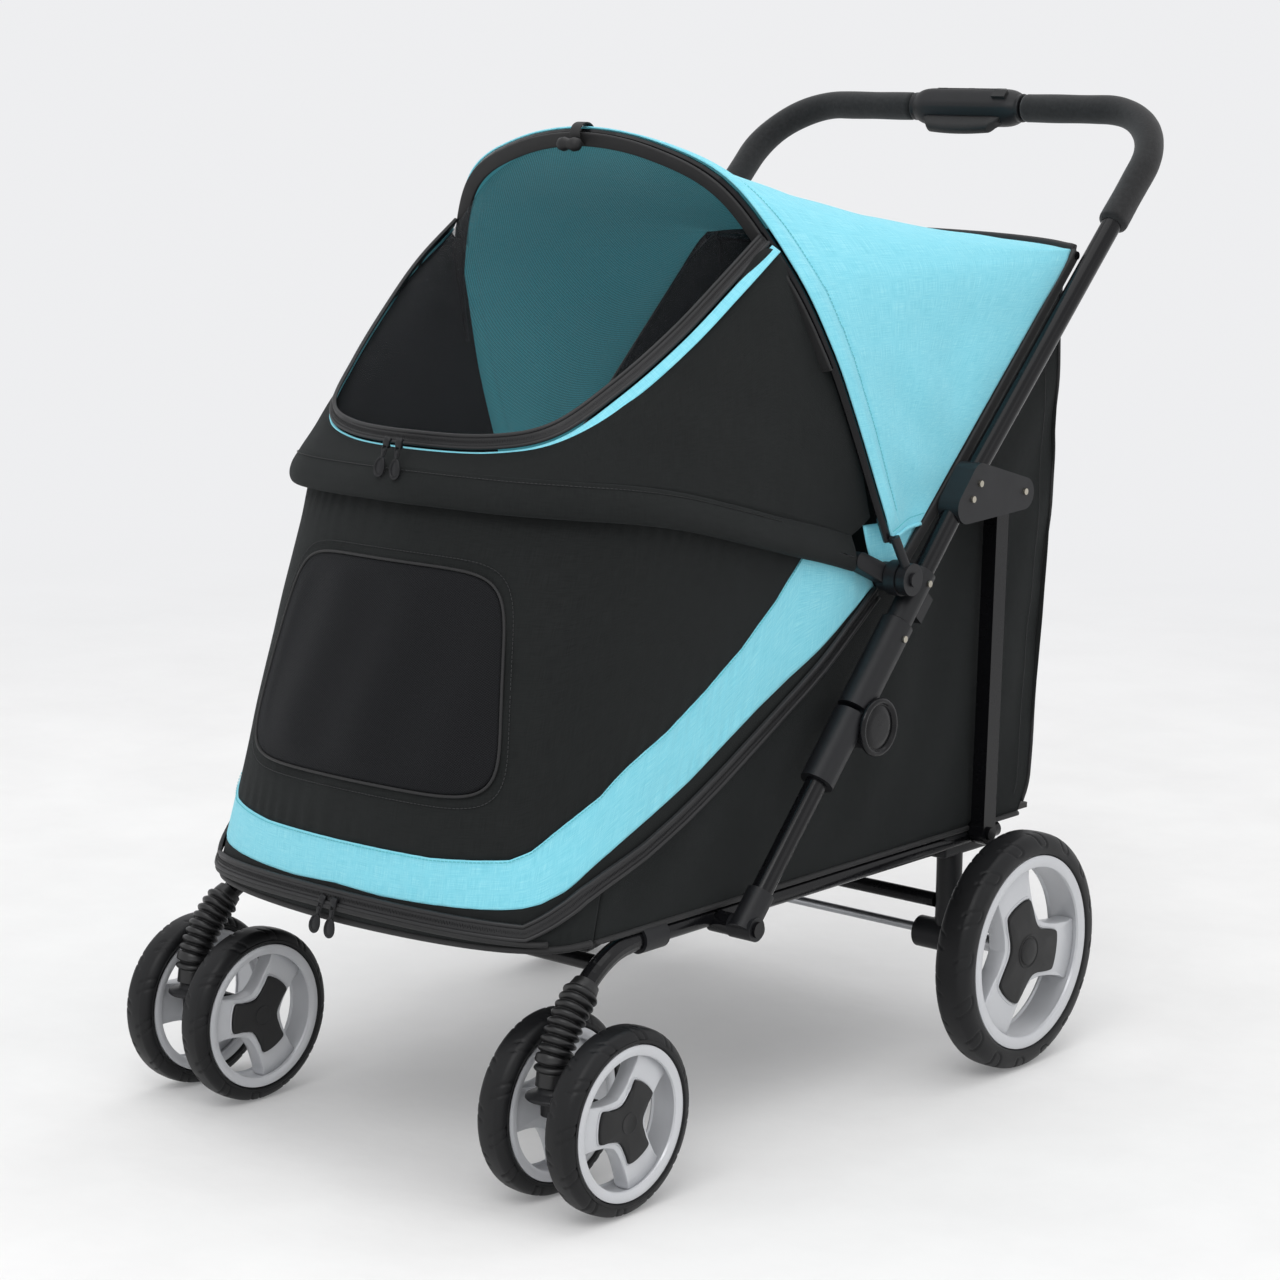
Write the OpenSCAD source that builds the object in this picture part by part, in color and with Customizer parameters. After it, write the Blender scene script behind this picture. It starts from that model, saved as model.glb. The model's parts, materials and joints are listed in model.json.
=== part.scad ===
// Pet stroller. Millimetres, +Z up, the front faces -Y, and +X is the stroller's own left side.
// The origin is on the ground under the middle of the bounding box.

/* [Wheels] */
// Radius of a rear wheel
rear_r = 127; // [110:1:140]
// Width of a rear tyre
rear_w = 43; // [36:1:46]
// Radius of a front wheel
front_r = 89; // [80:1:95]
// Width of a front tyre
front_w = 34; // [28:1:36]
// Distance from the middle plane to the middle of a rear wheel
rear_x = 314; // [312:1:320]
// Distance from the swivel axis to the middle of a front wheel
front_x = 42; // [40:1:46]

/* [Frame] */
// Radius of the bent handle tube and of the lower struts
tube_r = 11; // [9:0.5:11]
// Radius of the foam grip
foam_r = 16; // [14:0.5:17]
// Radius of the bottom rails
rail_r = 9; // [8:0.5:9]
// Distance from the middle plane to the axis of the handle tube
tube_x = 272.5; // [272:0.5:275]
// Slope of the struts in degrees
strut_slope = 47.9; // [47:0.1:49]
// Slope of the handle tube above the rear leg bracket in degrees
handle_slope = 44.8; // [44:0.1:46]
// Bend radius of the handle corners
handle_bend = 90; // [70:1:110]

/* [Cabin] */
// Half of the cabin's width between the side walls
cabin_x = 240; // [230:1:241]
// Thickness of a fabric wall
wall = 4; // [3:0.5:5]
// Thickness of the mattress
pad_t = 28; // [15:1:40]

/* [Folding] */
// Angle that the canopy bow leans forward from vertical, in degrees
bow_lean = 22; // [15:1:30]
// Radial clearance of a pin in its bore
pin_gap = 0.05; // [0.02:0.01:0.1]

/* [Hidden] */
$fn = 48;
gap = 0.4;

// Places as [y, z] in the side view
rail_z = 232;
rail_x = 232;
rail_rear = 252;
clamp_y = -330;
strut_foot = [-235, 228];
strut_start = [-222, 246];
knee = [-52.5, 400.5];
bracket = [127, 632];
leg_top = [208, 610];
leg_foot = [200, 240];
hub = [6, 542];
rear_axle_at = [177, rear_r];
brake_pivot = [211, 132];
front_axle_at = [-439, front_r];
swivel_y = -482;
swivel_x = 246.7;
handle_len = 529;
foam_len = 171;
leg_x = 252;
leg_t = 17;
pin_r = 4;
// Angles of the first spokes
rear_turn = 80;
front_turn = 144;

strut_dir = [cos(strut_slope), sin(strut_slope)];
strut_front = [-sin(strut_slope), cos(strut_slope)];
strut_len = norm(bracket - strut_start);
knee_s = (knee - strut_start) * strut_dir;
lower_sleeve_s = 144;
upper_sleeve_s = 336;
sleeve_r = 17.5;
hub_sleeve_r = 14;
hub_s = (hub - strut_start) * strut_dir;
hub_n = (hub - strut_start) * strut_front;
handle_dir = [cos(handle_slope), sin(handle_slope)];
housing_len = 150;

// Centre line of a front leg, from the rail clamp to the top of the swivel
front_leg = [[232, -312, 232], [232.5, -345, 232], [235, -378, 230], [239, -404, 224], [243, -427, 214],
             [245.5, -447, 199], [246.5, -463, 182], [246.7, -475, 164], [246.7, swivel_y, 150]];

// Soft edges: control points of the left half, from the middle plane outwards
panel_low = [[0, -522, 266], [110, -513, 264], [186, -491, 261], [226, -456, 258], [236, -415, 264],
             [237, -300, 299], [237, -200, 347], [237, -100, 411], [237, -25, 478], [237, 12, 514]];
panel_high = [[0, -428, 634], [110, -411, 632], [178, -381, 630], [212, -338, 626], [226, -285, 616],
              [233, -215, 598], [236, -140, 578], [237, -70, 560], [237, -22, 548], [237, 4, 541]];
hoop_line = [[0, -434, 650], [110, -417, 648], [181, -387, 646], [217, -342, 641], [232, -285, 630],
             [239, -215, 612], [242, -140, 592], [243, -80, 577], [243, -38, 565]];
collar_low = [[0, -434, 664], [110, -417, 662], [180, -387, 660], [216, -342, 655], [231, -285, 644],
              [238, -215, 627], [241, -140, 607], [242, -80, 592], [242, -40, 582]];
collar_high = [[0, -418, 690], [92, -404, 692], [150, -374, 706], [190, -318, 742], [210, -252, 788],
               [218, -180, 842], [234, -100, 770], [242, -66, 694], [244, -42, 616]];
window_low = [[0, -416, 696], [92, -402, 698], [149, -372, 712], [188, -316, 748], [207, -254, 793],
              [212, -196, 846]];

function mix(a, b, t) = a + (b - a) * t;
function flip_x(p) = [-p.x, p.y, p.z];
function end_point(pts, i, open) = i < 0 ? (open ? 2 * pts[0] - pts[1] : flip_x(pts[-i])) : pts[min(i, len(pts) - 1)];
function smooth(a, b, c, d, t) =
  0.5 * (2 * b + (c - a) * t + (2 * a - 5 * b + 4 * c - d) * t * t + (3 * b - a - 3 * c + d) * t * t * t);
// Point at share u of the smooth curve through pts, which is open, or one half of a symmetric curve
function half_at(pts, u, open = false) =
  let (n = len(pts) - 1, k = min(n - 1, floor(u * n)), t = u * n - k)
  smooth(end_point(pts, k - 1, open), pts[k], pts[k + 1], end_point(pts, k + 2, open), t);
// Point at u = -1 to 1 of the whole symmetric curve
function curve_at(pts, u) = u < 0 ? flip_x(half_at(pts, -u)) : half_at(pts, u);

// The bow: half width at a distance s from the hub, in the plane that leans forward
bow_shape = [[0, 473], [92, 459], [170, 419], [222, 330], [246, 250], [256, 180], [264, 85], [268, 42]];
function bow_point(p, out) =
  let (s = p[1] + out * (p[1] > 300 ? 1 : 0), x = p[0] + (p[0] > 200 ? out : 0))
  [x, hub[0] - s * sin(bow_lean), hub[1] + s * cos(bow_lean)];
bow_line = [for (p = bow_shape) bow_point(p, 0)];
canopy_front = [for (p = bow_shape) bow_point(p, 11) + [0, p[0] > 262 ? 12 : 6, 0]];
canopy_rear = [[0, 340, 868], [150, 339, 866], [238, 335, 860], [255, 326, 850], [256, 262, 788],
               [256, 190, 717], [256, 118, 646], [256, 62, 590]];
window_high = [for (k = [0 : 3]) bow_point(bow_shape[k], -12) + [0, -4, 0]];

module both() {
  children();
  mirror([1, 0, 0]) children();
}

// Stand a shape drawn along +Z at distance s up the strut line, moved n towards the front
module on_strut(s, n = 0, x = tube_x) {
  p = strut_start + strut_dir * s + strut_front * n;
  translate([x, p[0], p[1]]) rotate([strut_slope - 90, 0, 0]) children();
}

module on_handle(s, x = tube_x) {
  p = bracket + handle_dir * s;
  translate([x, p[0], p[1]]) rotate([handle_slope - 90, 0, 0]) children();
}

// Cylinder along X between two distances from the middle plane, at a side view place
module axle_x(at, r, x0, x1) {
  translate([x0, at[0], at[1]]) rotate([0, 90, 0]) cylinder(r = r, h = x1 - x0);
}

module rounded_box(size, r, sides = 24) {
  hull() for (x = [-1, 1], y = [-1, 1], z = [-1, 1])
    translate([x * (size.x / 2 - r), y * (size.y / 2 - r), z * (size.z / 2 - r)]) sphere(r, $fn = sides);
}

// Closed sheet of thickness t on the outer surface f(u, v), with u from -1 to 1 and v from 0 to 1
module sheet(f, nu, nv, t) {
  e = 0.01;
  surface_normal = function(u, v)
    let (du = f(min(u + e, 1), v) - f(max(u - e, -1), v), dv = f(u, min(v + e, 1)) - f(u, max(v - e, 0)),
         n = cross(du, dv)) n / norm(n);
  us = [for (i = [0 : nu]) -1 + 2 * i / nu];
  vs = [for (j = [0 : nv]) j / nv];
  outer = [for (u = us, v = vs) f(u, v)];
  inner = [for (u = us, v = vs) f(u, v) - t * surface_normal(u, v)];
  m = nv + 1;
  total = (nu + 1) * m;
  quad = function(a, b, c, d) [[a, b, c], [a, c, d]];
  outer_faces = [for (i = [0 : nu - 1], j = [0 : nv - 1])
    each quad(i * m + j, i * m + j + 1, (i + 1) * m + j + 1, (i + 1) * m + j)];
  inner_faces = [for (q = outer_faces) [q[2] + total, q[1] + total, q[0] + total]];
  low_rim = [for (i = [0 : nu - 1]) each quad(i * m, (i + 1) * m, (i + 1) * m + total, i * m + total)];
  high_rim = [for (i = [0 : nu - 1])
    each quad((i + 1) * m + nv, i * m + nv, i * m + nv + total, (i + 1) * m + nv + total)];
  first_rim = [for (j = [0 : nv - 1]) each quad(j + 1, j, j + total, j + 1 + total)];
  last_rim = [for (j = [0 : nv - 1])
    each quad(nu * m + j, nu * m + j + 1, nu * m + j + 1 + total, nu * m + j + total)];
  polyhedron(concat(outer, inner), concat(outer_faces, inner_faces, low_rim, high_rim, first_rim, last_rim));
}

// Round section swept along a list of centres. radius(i) is the outer radius at centre i, up is a direction
// that no stretch of the path runs along, and a bore above 0 leaves the sweep hollow.
module swept(centres, radius, up, sides = 8, bore = 0) {
  n = len(centres) - 1;
  ring = function(i, r)
    let (along = centres[min(i + 1, n)] - centres[max(i - 1, 0)], a = cross(along, up), b = cross(along, a))
    [for (k = [0 : sides - 1])
      centres[i] + r * (a / norm(a) * cos(360 * k / sides) + b / norm(b) * sin(360 * k / sides))];
  outer = [for (i = [0 : n]) each ring(i, radius(i))];
  inner = bore > 0 ? [for (i = [0 : n]) each ring(i, bore)] : [];
  m = len(outer);
  skin = [for (i = [0 : n - 1], k = [0 : sides - 1])
    let (a = i * sides + k, b = i * sides + (k + 1) % sides)
    each [[a, a + sides, b], [b, a + sides, b + sides]]];
  lining = [for (f = skin) [f[2] + m, f[1] + m, f[0] + m]];
  rims = [for (k = [0 : sides - 1])
    let (a = k, b = (k + 1) % sides, c = n * sides + a, d = n * sides + b)
    each [[a, b, b + m], [a, b + m, a + m], [d, c, c + m], [d, c + m, d + m]]];
  caps = [[for (k = [0 : sides - 1]) k], [for (k = [sides - 1 : -1 : 0]) n * sides + k]];
  polyhedron(concat(outer, inner), concat(skin, bore > 0 ? concat(lining, rims) : caps));
}

// ---- Chassis ----

module rail() {
  color("#17181a") {
    difference() {
      union() {
        translate([rail_x, clamp_y, rail_z]) rotate([-90, 0, 0]) cylinder(r = rail_r, h = rail_rear - clamp_y);
        swept([for (i = [0 : 22]) half_at(front_leg, i / 22, true)], function(i) rail_r + 1, [1, 0, 0], 14);
      }
      translate([swivel_x, swivel_y, 140]) cylinder(r = pin_r + 1 + pin_gap, h = 32);
    }
    axle_x(strut_foot, 11, rail_x, tube_x - 14.5 - gap);
    axle_x(strut_foot, pin_r, rail_x, tube_x + 15);
    axle_x(strut_foot, 8, tube_x + 14.5 + gap, tube_x + 18);
    axle_x(leg_foot, 10, rail_x, leg_x - leg_t / 2 - gap);
    axle_x(leg_foot, pin_r, rail_x, leg_x + leg_t / 2 + 1);
    axle_x(leg_foot, 7, leg_x + leg_t / 2 + gap, leg_x + leg_t / 2 + 3.5);
  }
}

module left_rail() {
  rail();
}

module right_rail() {
  mirror([1, 0, 0]) rail();
}

module cross_tubes() {
  color("#17181a") {
    axle_x([-392, 215], 8, -229, 229);
    axle_x([-110, rail_z], 7, rail_r - rail_x, rail_x - rail_r);
    axle_x([173, 163], 8, -213, 213);
  }
}

// Ring clamp that joins each rail to its front leg
module rail_clamps() {
  color("#1c1d1f") both() difference() {
    translate([rail_x, clamp_y - 20, rail_z]) rotate([-90, 0, 0]) cylinder(r = 14, h = 34);
    translate([rail_x, clamp_y - 30, rail_z]) rotate([-90, 0, 0]) cylinder(r = rail_r + 1.6, h = 60);
  }
}

module axle_posts() {
  post_x = 226;
  color("#1c1d1f") both() difference() {
    union() {
      translate([post_x, rear_axle_at[0], 111]) cylinder(r = 14, h = 112);
      translate([post_x, rear_axle_at[0] + 12, rail_z - 3]) rounded_box([28, 84, 24], 4, 14);
      axle_x([rear_axle_at[0] - 3, rear_axle_at[1] - 2], 17, 192, 240);
      for (x = [201, 236.5]) translate([x, 180, brake_pivot[1] - 7]) cube([4.5, brake_pivot[0] - 174, 14]);
      axle_x(brake_pivot, 3, 202, 240);
    }
    axle_x(rear_axle_at, 5 + pin_gap, 150, 300);
    translate([rail_x, 100, rail_z]) rotate([-90, 0, 0]) cylinder(r = rail_r + 0.2, h = 160);
    axle_x([173, 163], 8.2, 150, 214);
    axle_x(leg_foot, 10.3, 239, 260);
  }
}

module rear_axle() {
  color("#8d9095") {
    axle_x(rear_axle_at, 5, -rear_x - 12, rear_x + 12);
    both() difference() {
      axle_x(rear_axle_at, 9, 244, rear_x - 23.5);
      axle_x(rear_axle_at, 5, 243, rear_x - 20);
    }
  }
}

// Plan outline of the cabin floor, set in by the given margin
function floor_plan(margin) = concat(
  [for (i = [0 : 40]) let (p = curve_at([for (k = [0 : 3]) panel_low[k]], -1 + i / 20))
    [p.x * (1 - margin / 232), p.y + margin + abs(p.x) * 0.02]],
  [[cabin_x - wall - margin, -400], [cabin_x - wall - margin, 330 - margin],
   [margin + wall - cabin_x, 330 - margin], [margin + wall - cabin_x, -400]]);

module floor_board() {
  color("#222326") difference() {
    translate([0, 0, 242.5]) linear_extrude(6) polygon(floor_plan(8));
    both() translate([215, clamp_y - 24, 240]) cube([40, 42, 20]);
  }
}

module mattress() {
  color("#2b2d30") translate([0, 0, 249]) linear_extrude(pad_t) polygon(floor_plan(16));
}

// Side and rear walls of the cabin, which hang from the handle tube and stand on the rails
module tub_walls() {
  zip_line = [for (i = [0 : 20]) let (p = half_at(panel_low, 1 - i * 5.3 / 180)) [p.y + 3, p.z - 4]];
  side = concat([[-446, 242.5], [305, 242.5], [334, 276], [340, 846], [322, 838], [44, 552], [22, 530]], zip_line,
                [[-446, 256]]);
  color("#1b1c1d") {
    both() difference() {
      translate([cabin_x - wall, 0, 0]) rotate([90, 0, 90]) linear_extrude(wall) polygon(side);
      translate([cabin_x - 20, clamp_y - 24, 230]) cube([40, 42, 17]);
      axle_x(leg_foot, 11, cabin_x - 20, cabin_x + 20);
    }
    translate([wall - cabin_x, 0, 0]) rotate([90, 0, 90]) linear_extrude(2 * (cabin_x - wall))
      polygon([[330, 276], [334, 276], [340, 846], [336, 846]]);
  }
}

module front_panel() {
  color("#2a2b2b") sheet(function(u, v)
    mix(curve_at(panel_low, u), curve_at(panel_high, u), v) + [0, -10 * sin(180 * v) * max(0, 1 - 2.4 * abs(u)), 0],
    48, 6, wall - 1);
}

// Ribbed rubber gaiters over the sprung front legs
module bellows() {
  ribs = 9;
  steps = 4 * ribs;
  path = [for (i = [0 : steps]) half_at(front_leg, mix(0.6, 1, i / steps), true) - [0, 0, 7 * pow(i / steps, 2)]];
  color("#161718") both()
    swept(path, function(i) 15.6 - 1.8 * cos(360 * i / 4), [1, 0, 0], 14, rail_r + 3.5);
}

// ---- Struts ----

module strut_tubes() {
  color("#17181a") both() on_strut(14) cylinder(r = tube_r, h = knee_s - 44);
}

module strut_feet() {
  color("#1c1d1f") both() difference() {
    union() {
      on_strut(-28) cylinder(r = 14, h = 44);
      axle_x(strut_foot, 12, tube_x - 14.5, tube_x + 14.5);
    }
    on_strut(14) cylinder(r = tube_r + 0.2, h = 60);
    axle_x(strut_foot, pin_r + pin_gap, tube_x - 30, tube_x + 30);
  }
}

module knee_lower_shells() {
  color("#1e1f21") both() difference() {
    union() {
      on_strut(lower_sleeve_s) cylinder(r = sleeve_r, h = knee_s - 3 - lower_sleeve_s);
      axle_x(knee, 24, tube_x - 8, tube_x + 8);
    }
    on_strut(lower_sleeve_s - 1) cylinder(r = tube_r + 0.2, h = knee_s - 28 - lower_sleeve_s);
    axle_x(knee, 24.6, tube_x - 25, tube_x - 8);
    axle_x(knee, 24.6, tube_x + 8, tube_x + 25);
    axle_x(knee, 5 + pin_gap, tube_x - 30, tube_x + 30);
  }
}

// ---- Handle frame ----

module knee_upper_shells() {
  color("#1e1f21") both() difference() {
    union() {
      on_strut(knee_s + 3) cylinder(r = sleeve_r, h = upper_sleeve_s - knee_s - 3);
      for (x = [tube_x - 18, tube_x + 8.4]) axle_x(knee, 24, x, x + 9.6);
    }
    axle_x(knee, 24.6, tube_x - 8.4, tube_x + 8.4);
    on_strut(knee_s + 30) cylinder(r = tube_r + 0.2, h = 200);
    axle_x(knee, 5.3, tube_x - 30, tube_x + 30);
  }
}

module knee_caps() {
  color("#26272a") both() {
    axle_x(knee, 5, tube_x - 20, tube_x + 19);
    difference() {
      axle_x(knee, 26, tube_x + 18.2, tube_x + 23);
      axle_x(knee, 20, tube_x + 21.5, tube_x + 24);
    }
    axle_x(knee, 11, tube_x - 22, tube_x - 18.2);
  }
}

// Bent U of a round section, in the plane of the handle, from distance s0 along each side
module handle_u(r, s0, x0) {
  straight = handle_len - handle_bend;
  both() {
    translate([tube_x, 0, s0]) cylinder(r = r, h = straight - s0);
    translate([tube_x - handle_bend, 0, straight]) rotate([90, 0, 0]) rotate_extrude(angle = 90)
      translate([handle_bend, 0]) circle(r);
    translate([x0, 0, handle_len]) rotate([0, 90, 0]) cylinder(r = r, h = tube_x - handle_bend - x0);
  }
}

module handle_tube() {
  color("#17181a") {
    both() on_strut(knee_s + 30) cylinder(r = tube_r, h = strut_len - knee_s - 31);
    on_handle(0, 0) handle_u(tube_r, 0, 0);
  }
}

module foam_grips() {
  color("#141414") on_handle(0, 0) difference() {
    handle_u(foam_r, handle_len - foam_len, housing_len / 2 + 1);
    handle_u(tube_r + 0.1, handle_len - foam_len - 1, housing_len / 2);
  }
}

// Housing of the one-hand fold release, in the middle of the handle
module handle_housing() {
  color("#1d1e20") on_handle(handle_len, 0) difference() {
    union() {
      rounded_box([housing_len - 30, 42, 36], 9);
      rotate([0, 90, 0]) translate([0, 0, -housing_len / 2]) cylinder(r = 18, h = housing_len);
    }
    rotate([0, 90, 0]) translate([0, 0, -housing_len]) cylinder(r = tube_r + 0.1, h = 2 * housing_len);
    translate([-57, -13, -60]) cube([114, 26, 48.2]);
    translate([40, -26, -7]) cube([22, 14.7, 14]);
  }
}

// Plates that carry the tops of the rear legs
module leg_brackets() {
  color("#1e1f21") both() difference() {
    hull() {
      translate([0, 0, 0]) axle_x(bracket, 17, tube_x - 11, tube_x + 14);
      translate([0, -24, -27]) axle_x(bracket, 17, tube_x - 11, tube_x + 14);
      axle_x(leg_top, 17, tube_x - 11, tube_x + 14);
    }
    on_strut(strut_len - 120) cylinder(r = tube_r + 0.3, h = 120);
    on_handle(0) cylinder(r = tube_r + 0.3, h = 90);
    translate([tube_x, bracket[0], bracket[1]]) sphere(tube_r + 0.3);
  }
}

// Hub blocks in front of the tube, which carry the waist hoop and the canopy bow
module hub_brackets() {
  color("#1e1f21") both() difference() {
    union() {
      axle_x(hub, 18, tube_x - 8, tube_x + 5.2);
      on_strut(hub_s - 15) translate([-6.5, 3, 0]) cube([11, hub_n - 3, 30]);
      on_strut(upper_sleeve_s + 2) cylinder(r = hub_sleeve_r, h = 62);
      axle_x(hub, pin_r, tube_x - 21, tube_x + 19);
      axle_x(hub, 7, tube_x + 17.4, tube_x + 20);
    }
    on_strut(upper_sleeve_s) cylinder(r = tube_r + 0.2, h = 80);
  }
}

// Rivets of the leg brackets, sleeves and hub blocks
module frame_rivets() {
  heads = [bracket + [-2, -4], bracket + [-15, -19], leg_top + [0, 2]];
  color("#8f8468") both() {
    for (at = heads) axle_x(at, 3.4, tube_x + 14, tube_x + 16);
    for (at = [[upper_sleeve_s - 16, sleeve_r], [upper_sleeve_s + 52, hub_sleeve_r]])
      on_strut(at[0]) rotate([0, 90, 0]) translate([0, 0, at[1] + 0.05]) cylinder(r = 3.4, h = 1.8);
  }
}

module canopy_rear_bar() {
  color("#17181a") axle_x([336, 852], 4.5, -tube_x + 13, tube_x - 13);
}

module canopy() {
  color("#62ccd6") sheet(function(u, v)
    mix(curve_at(canopy_front, u), curve_at(canopy_rear, u), v)
      + [0, 0, -16 * sin(180 * v) * max(0, 1 - 2 * abs(u))], 48, 6, wall - 1);
}

// Squeeze lever of the fold release, which moves towards the handle bar
module release_lever() {
  color("#222326") on_handle(handle_len, 0) hull()
    for (z = [-27, -35]) translate([-54, 0, z]) rotate([0, 90, 0]) cylinder(r = 8, h = 108, $fn = 32);
}

module lock_button() {
  color("#2c2d30") on_handle(handle_len, 0) translate([42, -23.5, -5]) cube([18, 9.5, 10]);
}

// ---- Rear legs ----

module rear_legs() {
  span = leg_top - leg_foot;
  lean = atan2(span[0], span[1]);
  color("#17181a") both() difference() {
    translate([leg_x - leg_t / 2, leg_foot[0], leg_foot[1]]) rotate([-lean, 0, 0]) union() {
      translate([0, -11, 0]) cube([leg_t, 22, norm(span)]);
      rotate([0, 90, 0]) cylinder(r = 13, h = leg_t);
      translate([0, 0, norm(span)]) rotate([0, 90, 0]) cylinder(r = 13, h = leg_t);
    }
    axle_x(leg_foot, pin_r + pin_gap, leg_x - 20, leg_x + 20);
  }
}

// ---- Waist hoop and collar ----

module waist_hoop() {
  color("#1d1e20") swept([for (i = [-28 : 28]) curve_at(hoop_line, i / 28)], function(i) 8, [0, 0.24, 0.97]);
}

module hoop_sockets() {
  color("#1e1f21") both() difference() {
    union() {
      axle_x(hub, 15, tube_x - 20, tube_x - 8.5);
      hull() {
        axle_x(hub + [-8, 3], 10, tube_x - 20, tube_x - 9);
        axle_x(hub + [-36, 19], 9, tube_x - 38, tube_x - 20);
      }
    }
    axle_x(hub, pin_r + pin_gap, tube_x - 60, tube_x + 30);
  }
}

module collar() {
  color("#262727") sheet(function(u, v) mix(curve_at(collar_low, u), curve_at(collar_high, u), v), 48, 4, wall - 2);
}

// ---- Canopy bow and mesh window ----

module canopy_bow() {
  color("#17181a") swept([for (i = [-30 : 30]) curve_at(bow_line, i / 30)], function(i) 4.5,
    [0, cos(bow_lean), sin(bow_lean)]);
}

module bow_sockets() {
  color("#1e1f21") both() difference() {
    union() {
      axle_x(hub, 16.5, tube_x + 6.4, tube_x + 17);
      translate([tube_x, hub[0], hub[1]]) rotate([bow_lean, 0, 0]) {
        translate([13.5, 0, 0]) rotate([0, -9.5, 0]) translate([0, 0, 10]) cylinder(r = 5, h = 38);
        translate([0, 0, 44]) rotate([0, 90, 0]) cylinder(r = 4, h = 5);
      }
    }
    axle_x(hub, pin_r + pin_gap, tube_x - 30, tube_x + 30);
  }
}

module mesh_window() {
  color("#1d5a60") sheet(function(u, v) mix(curve_at(window_low, u), curve_at(window_high, u), v), 48, 4, wall - 2);
}

// Oval pull tabs that hang from a zip slider
module pull_tabs(at) {
  color("#101011") for (side = [-1, 1]) translate(at + [side * 9, 0, 0]) {
    rotate([0, 90, 0]) translate([0, 0, -2]) cylinder(r = 2.4, h = 4);
    translate([0, 0, -10]) cube([2.4, 1.6, 18], center = true);
    hull() for (z = [-20, -29]) translate([0, 1, z]) rotate([90, 0, 0]) cylinder(r = z < -25 ? 5 : 7, h = 2);
  }
}

module window_pulls() {
  pull_tabs([0, -447, 690]);
}

module panel_pulls() {
  pull_tabs([0, -535, 262]);
}

// ---- Brakes ----

module brake_pedal() {
  color("#26272a") difference() {
    union() {
      axle_x(brake_pivot, 8, 206, 236);
      hull() for (at = [[7, -3], [54, -18]]) axle_x(brake_pivot + at, 5, 206, 236);
    }
    axle_x(brake_pivot, 3 + pin_gap, 200, 240);
  }
}

module left_brake_pedal() {
  brake_pedal();
}

module right_brake_pedal() {
  mirror([1, 0, 0]) brake_pedal();
}

// ---- Front casters ----

module plunger() {
  color("#9a9da1") translate([swivel_x, swivel_y, 0]) {
    translate([0, 0, 97]) cylinder(r = pin_r + 1, h = 59);
    translate([0, 0, 132.5]) cylinder(r = 10, h = 3);
  }
}

module left_plunger() {
  plunger();
}

module right_plunger() {
  mirror([1, 0, 0]) plunger();
}

module fork() {
  color("#1e1f21") difference() {
    union() {
      translate([swivel_x, swivel_y, 112]) cylinder(r = 22, h = 4.5);
      translate([swivel_x, swivel_y, 96]) cylinder(r = 12, h = 36);
      hull() {
        axle_x([swivel_y + 4, 104], 9, swivel_x - 11, swivel_x + 11);
        axle_x(front_axle_at, 13, swivel_x - 11, swivel_x + 11);
      }
      axle_x(front_axle_at, 4, swivel_x - front_x - 10, swivel_x + front_x + 10);
      axle_x(front_axle_at, 8, swivel_x - front_x + 15.6, swivel_x + front_x - 15.6);
    }
    translate([swivel_x, swivel_y, 96.5]) cylinder(r = pin_r + 1 + pin_gap, h = 60);
  }
}

module left_fork() {
  fork();
}

module right_fork() {
  mirror([1, 0, 0]) fork();
}

// ---- Wheels: drawn about the X axis, with the outer face towards +X ----

module tyre(r, w, rim_r) {
  c = 0.36 * w;
  color("#1a1b1c") rotate([0, 90, 0]) rotate_extrude($fn = 96) polygon(concat(
    [[rim_r, -w * 0.42], [rim_r, w * 0.42], [rim_r + 2.5, w * 0.5]],
    [for (a = [0 : 15 : 90]) [r - c + c * sin(a), w / 2 - 0.3 * w + 0.3 * w * cos(a)]],
    [for (a = [90 : -15 : 0]) [r - c + c * sin(a), -w / 2 + 0.3 * w - 0.3 * w * cos(a)]],
    [[rim_r + 2.5, -w * 0.5]]));
}

module rim(r, w, hub_r, bore_r, turn) {
  color("#c3c5c8") rotate([0, 90, 0]) difference() {
    union() {
      rotate_extrude($fn = 96) polygon([[r - 7, -w * 0.42], [r - 0.1, -w * 0.42], [r - 0.1, w * 0.42],
                                       [r - 7, w * 0.42], [r - 10, 0]]);
      translate([0, 0, -w * 0.36]) cylinder(r = hub_r, h = w * 0.66);
      for (a = [0 : 120 : 240]) rotate([0, 0, a + turn]) translate([hub_r * 0.6, -hub_r * 0.62, -w * 0.1])
        cube([r - 6 - hub_r * 0.6, hub_r * 1.24, w * 0.3]);
    }
    translate([0, 0, -w]) cylinder(r = bore_r, h = 2 * w);
    translate([0, 0, w * 0.22]) cylinder(r = bore_r + 5, h = w);
  }
}

// Three-armed hub cap
module cap(r, w, hub_r, turn) {
  color("#222326") rotate([0, 90, 0]) translate([0, 0, w * 0.3 + 0.05]) linear_extrude(3.4) union() {
    circle(hub_r * 0.98);
    for (a = [0 : 120 : 240]) rotate(a + turn) translate([0, -hub_r * 0.5]) square([r * 0.52, hub_r]);
  }
}

module at_rear(side) {
  mirror([side < 0 ? 1 : 0, 0, 0]) translate([rear_x, rear_axle_at[0], rear_axle_at[1]]) children();
}

// A front wheel: side is 1 on the left, and place is 1 for the outer wheel of the pair
module at_front(side, place) {
  mirror([side < 0 ? 1 : 0, 0, 0]) translate([swivel_x + place * front_x, front_axle_at[0], front_axle_at[1]])
    mirror([place < 0 ? 1 : 0, 0, 0]) children();
}

module rear_tyre() {
  tyre(rear_r, rear_w, 105);
}

module rear_rim() {
  rim(104.9, rear_w, 27, 5 + pin_gap, rear_turn);
}

module rear_cap() {
  cap(104.5, rear_w, 22, rear_turn);
}

module front_tyre() {
  tyre(front_r, front_w, 75);
}

module front_rim() {
  rim(74.9, front_w, 20, 4 + pin_gap, front_turn);
}

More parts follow.
